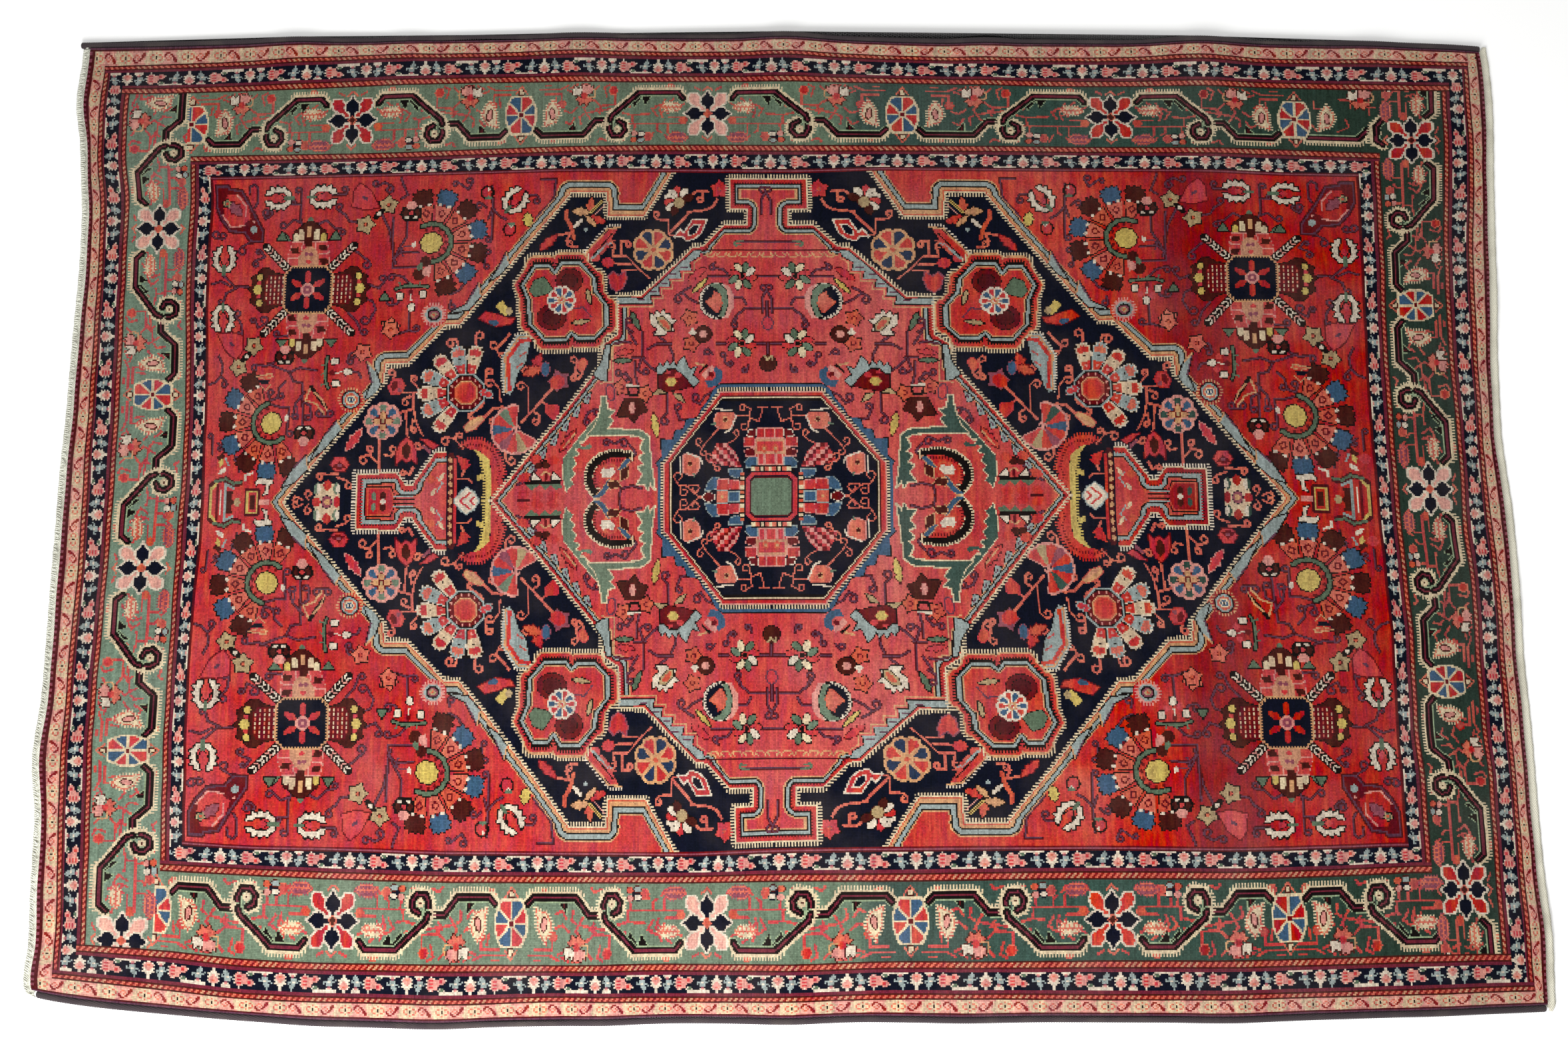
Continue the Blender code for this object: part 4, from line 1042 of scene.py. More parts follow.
def mirrorField():
    # the quarter is turned over onto the other three, as the weaver repeats it
    half = cloth["knotsLong"] // 2
    middle = cloth["knotsWide"] // 2
    chart[:, half:] = chart[:, :half][:, ::-1]
    for v in (290, 440):  # what stands on the short axis is single
        tendril([(-2, v + 12), (-8, v - 2), (-8, v - 22)], "maroon", "plum", 4.4, (("first", 5, 1),))
        tendril([(-2, v + 12), (6, v - 2), (6, v - 22)], "maroon", "plum", 4.4, (("first", 5, -1),))
    tendril([(-1, 284), (-1, 262)], "maroon", "plum", 4.4)
    edged("rose", "plum", oval(7, 9, (-1, 252), count=8), asDrawn, 2)
    tendril([(-1, 222), (-1, 206)], "maroon", "plum", 4.4)
    edged("brown", "black", oval(12, 12, (-1, 193)), asDrawn, 1.0)
    line("olive", [(-6, 204), (-2, 198), (4, 204), (6, 198)], 2.4)
    chart[:middle, :] = chart[middle:, :][::-1, :]


# the borders
border = {  # where each band starts, from the middle outwards
    "v": (480, 487, 506.5, 520, 620, 635, 656, 668, 684.5),
    "u": (828, 832, 848, 861, 951, 963.5, 983, 994, 1010),
    "bands": ("line", "navyGuard", "pole", "main", "poleInside", "navyGuard", "pole", "pinkGuard", "edge"),
    "vineWidth": 9.6,
    "combRim": 3.2,
    "combReach": 4.3,
    "core": ("berry", 2.3),
    "twigs": {"top": ("rust", 3.0), "bottom": ("coral", 3.4), "left": ("coral", 3.0), "right": ("rust", 3.0)},
    "runLength": 245,  # from a star to a wheel, as the vine's points below are given
}
navyGuardKnots = (  # one half repeat, the outer side first: the next one is turned upside down
    ".........LLLLLLLLLLLLLLLL....WW....LLLLLL..",
    "..PWP...WGGGW.....WPPW.....WPPPPW...WPPW...",
    ".PPPPPPP.WGG.......MM.....WPPTTPPW...MM....",
    "WPRRRPPP..........SSSS.....PPPPPP....SSSS..",
    ".PPPPPPPP.......S.SSSS....WWPPPPWW...SSSS.S",
    "WPRRRPPPPPPP....SSSWWSSS...WWPPWW..SSSWWSS.",
    ".PPPPPPPPRRPP......SSS..S.WWWWWWWW.S.SSS...",
    "WPRRRPPPPRRPPW.....SSSS.....WWWW....SSSS...",
    "..PPPW...PPP........SSS......WW.....SSS....",
    "...W.................S.......WW......S.....",
)
pinkGuardKnots = (
    "CCCCCCCCCPPPPPPPPPPPCC",
    "CCCCCTCCCCKKDDDKKKKCCC",
    "CCTTCCCTTCKDDKKDDKKCCC",
    "CTCCCBCCCTPDKKTKDDPPCC",
    "CTCCCBCCCTCKTKKTKDDPCC",
    "CCTTCCCTTCCKKTTKKDDDKC",
    "CCCCCTCCCCKKKKKKKKDDCC",
    "PCCCCCCCPPPPPPPPPPPPPP",
)
guardYarns = {"P": "pink", "R": "rose", "D": "brick", "W": "white", "G": "green", "S": "sky", "M": "mauve", "C": "ecru",
              "T": "salmon", "K": "blush", "B": "black", "L": "white"}


def guardKnot(rows, ground, along, across, depth):
    table = np.array([[yarnNumber[guardYarns.get(letter, ground)] for letter in row] for row in rows], np.uint8)
    row = np.clip(np.rint((across + 0.5) * len(rows) / depth - 0.5).astype(int), 0, len(rows) - 1)
    turned = (along // len(rows[0])) % 2 == 1
    row = np.where(turned, len(rows) - 1 - row, row)
    return table[row, along % len(rows[0])]


def bandKnots(kind, step, depth, along, side):
    # step counts the knots of a band outwards
    y = yarnNumber
    if kind == "navyGuard":
        return guardKnot(navyGuardKnots, "navy", along, depth - 1 - step, depth)
    if kind == "pinkGuard":
        return guardKnot(pinkGuardKnots, "ecru", along, depth - 1 - step, depth)
    if kind == "line":
        found = np.where(step == 0, y["wine"], y["maroon"])
        return np.where((step == 1) & (depth > 2), y["mauve"], found)
    if kind == "edge":
        outer = np.where((step >= depth - 2) & (along % 4 < 2), y["mauve"], y["maroon"])
        return outer if side == "u" else np.where(step == 0, y["maroon"], y["plum"])
    # a pole is a rope of two wools, with wine knots where it meets the navy guard
    fromGuard = depth - 1 - step if kind == "poleInside" else step
    seam = 2 if depth > 5 else 1
    found = np.where(fromGuard < seam, y["berry"], y["brick"])
    found = np.where((fromGuard == seam) | (fromGuard == depth - 1), y["brown"], found)
    middle = (fromGuard > seam) & (fromGuard < depth - 1)
    bead = np.where((along // 12) % 3 == 0, y["tan"], y["salmon"])
    return np.where(middle & ((along + step) % 4 < 2), bead, found)


def borderBands():
    # bands in turn, from the inner line outwards: the long sides' bands end at the corner's diagonal step
    level = {"u": np.searchsorted(border["u"], np.abs(knotU))[None, :],
             "v": np.searchsorted(border["v"], np.abs(knotV))[:, None]}
    far = {"u": np.abs(knotU)[None, :], "v": np.abs(knotV)[:, None]}
    size = {"u": knotLong, "v": knotWide}
    row, column = np.indices(chart.shape)
    for number, kind in enumerate(border["bands"]):
        if kind == "main":
            continue
        for side, other, along in (("v", "u", column), ("u", "v", row)):
            rails = (*border[side], cloth["halfWidth"] if side == "v" else cloth["halfLength"])
            depth = max(1, round((rails[number + 1] - rails[number]) / size[side]))
            step = ((far[side] - rails[number]) / size[side]).astype(int) + 0 * along
            found = bandKnots(kind, np.clip(step, 0, depth - 1), depth, along, side)
            most = number + 1 if side == "v" else number
            wanted = (level[side] == number + 1) & (level[other] <= most)
            chart[wanted] = found[wanted]


borderFlowers = {  # each side's flowers: place along it and kind; a ghost only draws the vine that leads to it
    "top": ((-862, "wheel"), (-624, "star"), (-376, "wheel"), (-91, "starPink"), (188, "wheel"), (484, "star"),
            (747, "wheel")),
    "bottom": ((-866, "wheel"), (-627, "star"), (-378, "wheel"), (-97, "starPink"), (174, "wheel"), (435, "star"),
               (668, "wheel"), (906, "ghost")),
    "left": ((651, "ghost"), (406, "starPink"), (157, "wheel"), (-94, "starPink"), (-351, "wheel"), (-612, "starPink")),
    "right": ((786, "ghost"), (541, "star"), (276, "wheel"), (16, "starPink"), (-254, "wheel"), (-541, "star"),
              (-786, "ghost")),
}
borderBuds = ((38, 40, "orange", "rust"), (47, 14, "mauve", "pink"), (72, 14, "rust", "salmon"), (205, 66, "rust", "red"),
              (58, 92, "salmon", "rust"), (218, 14, "rust", "salmon"))
borderTendrils = (  # rust twigs on the way from a star to a wheel
    ((123, 88), (123, 65), (146, 63), (156, 72)), ((129, 58), (168, 52), (160, 40)), ((168, 52), (172, 60), (166, 64)),
    ((38, 34), (118, 34)), ((62, 34), (62, 20), (56, 14)), ((78, 34), (78, 24), (72, 20)), ((96, 34), (97, 48), (90, 50)),
    ((92, 34), (94, 20)), ((62, 50), (64, 58), (70, 52)), ((78, 46), (86, 58), (80, 60)), ((97, 48), (113, 52)),
    ((36, 66), (50, 60), (66, 66), (80, 62)), ((44, 44), (60, 44)), ((104, 20), (112, 14), (120, 20)),
    ((206, 70), (206, 82), (230, 82)), ((196, 95), (208, 89), (238, 89)), ((222, 95), (230, 95)),
    ((188, 84), (198, 88)), ((136, 78), (140, 92), (132, 96)), ((182, 96), (192, 91)), ((148, 94), (154, 88)),
    ((176, 34), (178, 46), (172, 50)), ((186, 44), (192, 34), (200, 38)), ((136, 8), (146, 12), (150, 6)),
    ((108, 8), (124, 8), (126, 14)), ((182, 60), (192, 52), (202, 56)), ((20, 92), (12, 88)), ((48, 8), (34, 8), (30, 14)),
    ((66, 72), (74, 56), (70, 44)), ((84, 20), (90, 8)), ((146, 50), (152, 58), (144, 60)), ((60, 8), (66, 16)),
    ((164, 92), (168, 97), (176, 96)), ((214, 76), (216, 64)), ((52, 74), (58, 70)), ((100, 62), (110, 60), (108, 66)),
)


def sideSpot(side, place):
    # a side's own coordinates: along it, and outwards from the main border's inner rail
    def to(points):
        if side in ("top", "bottom"):
            sign = 1 if side == "top" else -1
            return [(place + along, sign * (520 + out)) for along, out in points]
        sign = 1 if side == "right" else -1
        return [(sign * (861 + 0.9 * out), place + along) for along, out in points]

    return to


def moved(to, x, y, flip=1, turn=0.0):
    shift = spot(x, y, turn)

    def there(points):
        return to(shift([(flip * a, b) for a, b in points]))

    return there


def mirrored(to):
    (u0, v0), (u1, v1), (u2, v2) = to([(0, 0), (1, 0), (0, 1)])
    return (u1 - u0) * (v2 - v0) - (v1 - v0) * (u2 - u0) < 0


def borderStar(to, pink):
    petal = [(4, 6), (10, 6), (16, 10), (27, 18), (29, 26), (27, 32), (17, 32), (11, 23), (8, 13)]
    arm = [(0, 3), (11, 2.5), (14, 8), (19, 10), (25, 9), (29, 4), (36, 0)]
    arm += [(x, -y) for x, y in arm[-2::-1]]
    for x in (-1, 1):
        for y in (-1, 1):
            shape = [(x * a, y * b) for a, b in petal]
            edged("blush" if pink else "red", "white", shape, to, 2.9)
    for turn in range(0, 360, 90):
        edged("navy", "white", arm, moved(to, 0, 0, 1, turn), 2.6)
    for turn in range(0, 360, 90):
        fill("navy", arm, moved(to, 0, 0, 1, turn))
    for sign in (-1, 1):
        line("salmon", [(-7, sign * 37), (0, sign * 43), (7, sign * 37)], 2.8, to)
    edged("orange" if pink else "brown", "salmon", [(-5, 0), (0, 6), (5, 0), (0, -6)], to, 1.6)


def borderWheel(to):
    rim = [(0, 29), (14, 28), (18, 20), (22, 8), (22, 0), (22, -8), (18, -20), (14, -29), (0, -29)]
    rim += [(-x, y) for x, y in rim[-2:0:-1]]
    edged("cream", "cream", rim, to, 1.6)
    for sector in range(8):
        shape = [(0, 0)] + [rim[(2 * sector + step) % len(rim)] for step in range(3)]
        fill("blue" if sector % 2 else "red", shape, to)
    for ends in (((0, 29), (0, -29)), ((-22, 0), (22, 0)), ((18, 20), (-18, -20)), ((-18, 20), (18, -20))):
        line("cream", ends, 3.0, to)
    line("cream", rim, 2.8, to, True)
    edged("wine", "cream", [(-3, -3), (3, -3), (3, 3), (-3, 3)], to, 1.6)
    for sign in (-1, 1):
        edged("cream", "brown", [(-3, 32 * sign), (3, 32 * sign), (2, 39 * sign), (-2, 39 * sign)], to, 1.6)
        line("salmon", [(-9, 32 * sign), (0, 45 * sign), (9, 32 * sign)], 2.2, to)


def serratedLeaf(to, heart="pink", edge="cream"):
    shape = [(-12, -18), (-4, -15), (4, -12), (10, 0), (9, 9), (5, 16), (0, 22), (-6, 14), (-9, 6), (-9, -4)]
    fill(edge, shape, to)
    line("salmon", shape, 2.0, to, True)
    path = to(shape)
    teeth(edge, path, 4.4, 0, True, "out")
    edged(heart, "brown", oval(3.4, 8.5, (0, 1), 8, 8), to, 1.7)


def lotus(to):
    for shape, yarn in (((-17, 0), (-14, 14), (-8, 8), (-4, 14), (-2, 2), (-10, -2)), "white"), \
            (((-2, 2), (-1, 16), (4, 12), (8, 17), (11, 11), (15, 13), (13, 3), (4, -1)), "pink"), \
            (((-12, -8), (-8, -4), (0, -5), (9, -3), (14, -9), (8, -12), (5, -18), (0, -13), (-6, -17), (-7, -11)), "salmon"):
        edged(yarn, "brown", list(shape), to, 1.2)
    edged("red", "rose", oval(4, 4, (1, -2), count=6), to, 1)
    line("gold", [(16, 8), (18, 2), (16, -5), (8, -5)], 2.4, to)


def paleLeaf(to, yarn="cream"):
    shape = [(-15, 0), (-9, 6), (0, 7), (9, 7), (15, 1), (9, -5), (0, -6), (-9, -5)]
    path = to(shape)
    teeth(yarn, path, 3.4, 0, True, "out")
    line("salmon", shape, 2.6, to, True)
    fill(yarn, shape, to)
    for x in (-8, -2, 4, 10):
        line("salmon", [(x, 3), (x - 3, -3)], 2.0, to)
    line("salmon", [(-13, 0), (13, 0)], 2.0, to)


def pansy(to):
    for x, y, yarn in ((-6, 4, "white"), (5, 5, "pink"), (-5, -6, "sky"), (6, -5, "orange")):
        edged(yarn, "navy" if yarn == "white" else "brown", oval(5, 4.4, (x, y), count=6), to, 1)
    fill("navy", oval(3, 3, count=6), to)


def vinePiece(points, to, combSide):
    path, width = to(points), border["vineWidth"]
    if mirrored(to):
        combSide = {"left": "right", "right": "left"}[combSide]
    teeth("cream", path, border["combReach"] + border["combRim"], width / 2, False, combSide)
    rows, columns = patch(path, 8)
    distance, _, leftSide = nearest(path, *knotsOf(path, 8)[2:], False)
    onComb = leftSide == (combSide == "left")
    chart[rows, columns][onComb & (distance <= width / 2 + border["combRim"])] = yarnNumber["cream"]
    chart[rows, columns][~onComb & (distance <= width / 2 + 1.5)] = yarnNumber["mint"]
    line("black", path, width)
    line(border["core"][0], path, border["core"][1])


def vineRun(side, start, end, fromStar):
    # one way round a run goes from a star to a wheel, and the other way it is its mirror image
    length = abs(end - start)
    more = (length - border["runLength"]) / 2
    base = sideSpot(side, start if fromStar else end)
    sign = (1 if end > start else -1) * (1 if fromStar else -1)

    def to(points):
        return base([(sign * x, y) for x, y in points])

    curl = 122 + more
    for x, y, yarn, rim in borderBuds:
        edged(yarn, rim, oval(6, 6, (x + (more if x > 60 else 0), y), count=6), to, 1.2)
    twigYarn, twigWidth = border["twigs"][side]
    for twig in borderTendrils:
        line(twigYarn, [(x + (more if x > 90 else 0), y) for x, y in twig], twigWidth, to)
    for shape in (((66, 80), (77, 64), (82, 80)), ((80, 80), (94, 61), (98, 74)), ((curl + 62, 20), (curl + 64, 38), (curl + 78, 20))):
        shape = [(x + (0 if x > curl else more), y) for x, y in shape]
        edged("black", "mint", shape, to, 1.2)
    line("maroon", [(curl + 67, 20), (curl + 67, 30)], 2.4, to)
    vinePiece([(curl + 14, 41), (curl + 32, 40), (curl + 50, 18), (length - 31, 18), (length - 23, 26)], to, "right")
    loop = [(9, 38), (10, 26), (5, 16), (-7, 15), (-14, 24), (-12, 34), (-4, 38)]
    stem = [(38, 74), (46, 84), (86 + more, 84), (104 + more, 68), (curl + 6, 48)]
    vinePiece(stem + [(curl + x, y) for x, y in loop], to, "left")
    vinePiece(stem + [(curl + 9, 40)], to, "left")
    edged("cream", "ecru", oval(4.2, 5.4, (curl - 2, 26), count=8), to, 1)
    fill("brown", oval(1.8, 1.8, (curl - 2, 26), count=6), to)
    edged("red", "salmon", oval(6, 7, (curl + 4, 87), count=6), to, 1.6)
    paleLeaf(moved(to, 56, 60))
    paleLeaf(moved(to, 46, 12), "mauve")
    pansy(moved(to, 88 + more, 14))
    lotus(moved(to, 172 + more, 81, -1))
    serratedLeaf(moved(to, length - 46, 50, -1))


def cornerVine():
    # the far right corner has a vine of its own between the last wheel and the first star of the end
    for twig in ([(775, 600), (775, 588), (800, 588)], [(810, 604), (826, 604), (826, 590)], [(850, 604), (850, 580)],
                 [(806, 552), (822, 560), (818, 572)], [(778, 552), (770, 562)], [(846, 592), (858, 592)]):
        line("rust", twig, 2.5)
    vinePiece([(765, 541), (833, 541), (846, 556), (854, 556)], asDrawn, "right")
    vinePiece([(868, 575), (858, 562), (857, 540), (866, 534)], asDrawn, "right")
    serratedLeaf(moved(asDrawn, 792, 572))
    lotus(moved(asDrawn, 838, 606))


def mainBorder():
    cornerVine()
    for side, flowers in borderFlowers.items():
        if side == "left":  # two wheels are cut off by the vine that comes round the corner
            for sign in (-1, 1):
                fill("sage", [(-868, 522 * sign), (-868, 618 * sign), (-951, 618 * sign), (-951, 522 * sign)])
        for (start, kind), (end, _) in zip(flowers, flowers[1:]):
            vineRun(side, start, end, kind.startswith("star"))
        for along, kind in flowers:
            to = moved(sideSpot(side, along), 0, 50)
            if kind == "wheel":
                borderWheel(to)
            elif kind != "ghost":
                borderStar(to, kind == "starPink")


def drawRug():
    redField()
    navyGround()
    coralGround()
    pendants()
    lobedRose()
    octagon()
    mirrorField()
    inMain = (np.abs(knotU)[None, :] > border["u"][3]) | (np.abs(knotV)[:, None] > border["v"][3])
    chart[inMain] = yarnNumber["sage"]
    mainBorder()
    borderBands()


# ---- where the drawing lies on the floor ----
def smoothThrough(table):
    """a smooth function through a table, which never swings past one of its rows"""
    along = np.array(sorted(table), float)
    across = np.array([table[key] for key in sorted(table)], float)
    steps = np.diff(across) / np.diff(along)
    slopes = np.zeros(len(along))
    sameWay = steps[:-1] * steps[1:] > 0
    both = np.where(sameWay, steps[:-1] + steps[1:], 1.0)
    slopes[1:-1] = np.where(sameWay, 2 * steps[:-1] * steps[1:] / both, 0.0)
    slopes[0], slopes[-1] = steps[0], steps[-1]

    def at(place):
        place = np.clip(place, along[0], along[-1])
        row = np.clip(np.searchsorted(along, place, side="right") - 1, 0, len(along) - 2)
        width = along[row + 1] - along[row]
        t = (place - along[row]) / width
        start = (1 + 2 * t) * (1 - t) ** 2 * across[row] + t * (1 - t) ** 2 * width * slopes[row]
        end = t * t * (3 - 2 * t) * across[row + 1] + t * t * (t - 1) * width * slopes[row + 1]
        return start + end

    return at


def betweenLines(lines, across, along):
    keys = np.array(sorted(lines), float)
    values = np.stack([lines[key](along) for key in sorted(lines)])
    row = np.clip(np.searchsorted(keys, across, side="right") - 1, 0, len(keys) - 2)
    share = (across - keys[row]) / (keys[row + 1] - keys[row])
    pick = np.arange(len(across))
    return values[row, pick] * (1 - share) + values[row + 1, pick] * share


outerEdge = {  # of the whole rug: the long sides as y at x and the ends as x at y, as in the source
    "far": {-1038: 691, -960: 692, -840: 695, -720: 699, -600: 700, -480: 703, -360: 705, -240: 706.5, -120: 706,
            0: 707, 120: 702, 240: 699, 360: 699, 480: 698.5, 600: 701, 720: 697.5, 840: 695, 960: 691, 1030: 686},
    "near": {-1038: -664, -990: -674, -930: -682, -840: -690, -720: -699, -600: -705, -480: -707, -360: -703.5,
             -240: -701, -120: -697.5, 0: -698, 120: -694.5, 240: -695, 360: -693, 480: -692.5, 600: -692,
             720: -687.5, 840: -683, 960: -678, 1042: -674},
    "left": {-670: -1020, -662: -1029, -652: -1033, -640: -1033.5, -600: -1030, -520: -1032.5, -440: -1033,
             -350: -1040, -240: -1034.5, -120: -1033.5, 0: -1031.5, 120: -1028, 240: -1026, 360: -1023, 420: -1024,
             480: -1029, 540: -1034.5, 600: -1041, 660: -1039, 691: -1038},
    "right": {-674: 1036, -664: 1040, -600: 1041, -520: 1037, -420: 1033, -300: 1030, -180: 1025, -60: 1024, 0: 1022,
              60: 1016.5, 120: 1012.5, 240: 1014, 360: 1019, 480: 1023, 600: 1027.5, 660: 1025, 687: 1022},
}
edgeOf = {side: smoothThrough(table) for side, table in outerEdge.items()}
edgeTrim = {"cord": 10.35, "leftBand": 13.6, "rightBand": 14.2}  # from the outer edge to the pile

railsAlong = {  # lines of the drawing that run along the rug: {their place across it: {x: y}}
    668: {-993: 652, -840: 658, -720: 664.5, -600: 670.5, -450: 673.5, -300: 677.5, -150: 675.5, 0: 676.5, 150: 670.5,
          300: 667.5, 450: 667.5, 600: 671.5, 720: 665.5, 840: 664.5, 993: 661},
    620: {-951: 609, -840: 612.5, -720: 616.5, -600: 622.5, -450: 627, -300: 628.5, 0: 629.5, 150: 627.5, 300: 624.5,
          450: 622.5, 600: 623.5, 720: 620.5, 840: 618, 951: 617},
    520: {-861: 515, -720: 518, -600: 520.5, -450: 526.5, -300: 532, -150: 534, 150: 533.5, 300: 533, 450: 531.5,
          600: 531.5, 720: 528, 861: 523},
    480: {-828: 479, -720: 481.5, -600: 484.5, -450: 488.5, -300: 492.5, 0: 491.5, 150: 495.5, 300: 494.5, 600: 493.5,
          720: 488.5, 828: 487},
    300: {-828: 303, -680: 304.7, -310: 315.5, 0: 317, 310: 315.5, 680: 327, 828: 322},
    0: {-828: 8, -719: 8.6, -402: 12, 0: 20, 402: 22.7, 719: 19.4, 828: 17},
    -300: {-828: -290, -680: -287.6, -310: -284.3, 0: -281, 310: -284.3, 680: -280, 828: -280},
    -480: {-828: -459, -720: -465, -600: -466.5, -450: -470.5, -150: -470.5, 0: -464.5, 150: -461.5, 300: -459.5,
           450: -458.5, 600: -459.5, 720: -456.5, 828: -452},
    -520: {-861: -499, -720: -505.5, -600: -510, -450: -513, -150: -512, 0: -509, 150: -508, 300: -505, 450: -503,
           600: -502.5, 720: -499, 861: -492},
    -620: {-951: -598, -840: -605, -720: -616, -600: -620, -450: -621, -300: -621, -150: -618, 0: -618, 150: -613,
           300: -612, 450: -610, 600: -609, 720: -605.5, 840: -601, 951: -598},
    -668: {-993: -642, -840: -657, -720: -668.5, -600: -672, -450: -674, -300: -669.5, -150: -669, 0: -667.5,
           150: -663, 300: -662, 450: -662, 600: -660.5, 720: -657, 840: -653, 993: -647},
}
railsAcross = {  # and the ones that run across it: {their place along it: {y: x}}
    -993: {668: -1000, 600: -1003, 530: -1005, 445: -995.5, 350: -992, 70: -992.5, -100: -992.5, -190: -996.5,
           -375: -997.5, -465: -995.5, -555: -990.5, -668: -990},
    -951: {620: -961.5, 530: -963, 445: -952.5, 350: -951.5, 260: -950, 70: -948, -20: -949, -190: -953,
           -285: -955.5, -465: -951.5, -620: -948},
    -861: {520: -868, 445: -864.5, 350: -864.5, 260: -860.5, 170: -855.5, 70: -853.5, -20: -855.5, -190: -857.5,
           -285: -858.5, -465: -854, -520: -851},
    -828: {480: -832, 445: -829, 350: -830, 260: -827, 170: -822.5, 70: -821, -20: -819, -105: -823, -190: -826,
           -285: -826, -375: -823, -480: -819},
    -680: {480: -690, 312: -690.3, 0: -685, -312: -667.6, -480: -665},
    -310: {480: -322, 285: -320.5, 0: -315, -285: -306.5, -480: -303},
    0: {480: -30, 0: -20.5, -480: -13},
    310: {480: 296, 285: 298, 0: 300, -285: 314, -480: 318},
    680: {480: 667, 312: 668.8, 0: 675, -312: 694.7, -480: 697},
    828: {480: 821, 350: 822, 170: 822.5, 70: 826.5, -20: 830.5, -105: 835.5, -190: 840, -285: 840.5, -375: 843,
          -480: 846},
    861: {520: 857, 350: 857, 260: 855, 170: 857, 70: 859.5, -20: 863, -105: 868, -190: 872, -285: 872, -375: 878,
          -520: 880.5},
    951: {620: 951, 530: 950, 445: 945, 350: 941, 260: 940.5, 170: 943.5, 70: 947.5, -20: 947.5, -105: 954.5,
          -190: 955, -285: 958, -375: 964, -465: 965.5, -555: 966.5, -620: 971},
    993: {668: 991, 530: 993, 445: 988.5, 350: 982.5, 260: 981.5, 170: 982.5, 70: 983.5, -20: 989, -105: 993.5,
          -190: 995.5, -285: 998.5, -375: 1001.5, -555: 1006.5, -668: 1011},
}
linesAlong = {key: smoothThrough(table) for key, table in railsAlong.items()}
linesAlong[689] = lambda x: edgeOf["far"](x) - edgeTrim["cord"]
linesAlong[-689] = lambda x: edgeOf["near"](x) + edgeTrim["cord"]
linesAcross = {key: smoothThrough(table) for key, table in railsAcross.items()}
linesAcross[-1018] = lambda y: edgeOf["left"](y) + edgeTrim["leftBand"]
linesAcross[1018] = lambda y: edgeOf["right"](y) - edgeTrim["rightBand"]

edgeWaves = {  # where the edges have crept up: place along the edge, height, half length, all in millimetres
    "far": ((-722, 4.0, 75), (-560, 2.5, 60), (-310, 4.0, 85), (-5, 6.0, 80), (290, 4.0, 60), (600, 6.0, 90),
            (850, 2.5, 65)),
    "near": ((-640, 2.5, 80), (-470, 3.5, 80), (-240, 3.0, 60), (0, 3.0, 70), (240, 2.0, 60), (590, 3.5, 80),
             (880, 2.5, 70)),
    "left": ((-350, 4.0, 80), (60, 2.0, 90), (600, 4.5, 70)),
    "right": ((-560, 3.0, 80), (-120, 2.5, 90), (300, 3.0, 80)),
}


def wave(side, along, inset):
    height = np.zeros(len(along))
    for middle, peak, half in edgeWaves[side]:
        t = np.clip((along - middle) / half, -1, 1)
        height += peak * np.cos(math.pi * t / 2) ** 2
    return height * np.cos(math.pi * np.clip(inset / 150.0, 0, 1) / 2) ** 2


def liftAt(x, y):
    """how high the rug's underside is over the floor"""
    return (wave("far", x, 707 - y) + wave("near", x, 707 + y)
            + wave("left", y, 1041 + x) + wave("right", y, 1041 - x))


def onFloor(u, v):
    """from the drawing's place to the real one, both in millimetres"""
    u, v = np.asarray(u, float), np.asarray(v, float)
    x, y = u, v
    for _ in range(4):
        x, y = betweenLines(linesAcross, u, y), betweenLines(linesAlong, v, x)
    return x, y


# ---- materials ----
def groupWith(name, inputs, outputs):
    group = bpy.data.node_groups.new(name, "ShaderNodeTree")
    for label, kind, value in inputs:
        socket = group.interface.new_socket(label, in_out="INPUT", socket_type=kind)
        if value is not None:
            socket.default_value = value
    for label, kind in outputs:
        group.interface.new_socket(label, in_out="OUTPUT", socket_type=kind)
    return group, group.nodes.new("NodeGroupInput"), group.nodes.new("NodeGroupOutput")


def addNode(tree, kind, settings=None, links=None, values=None):
    node = tree.nodes.new(kind)
    for name, value in (settings or {}).items():
        setattr(node, name, value)
    for socket, value in (values or {}).items():
        node.inputs[socket].default_value = value
    for socket, source in (links or {}).items():
        tree.links.new(source, node.inputs[socket])
    return node


def mathNode(tree, operation, first, second=None, third=None, clamp=False):
    node = tree.nodes.new("ShaderNodeMath")
    node.operation, node.use_clamp = operation, clamp
    for index, value in enumerate((first, second, third)):
        if value is None:
            continue
        if isinstance(value, (int, float)):
            node.inputs[index].default_value = value
        else:
            tree.links.new(value, node.inputs[index])
    return node.outputs[0]


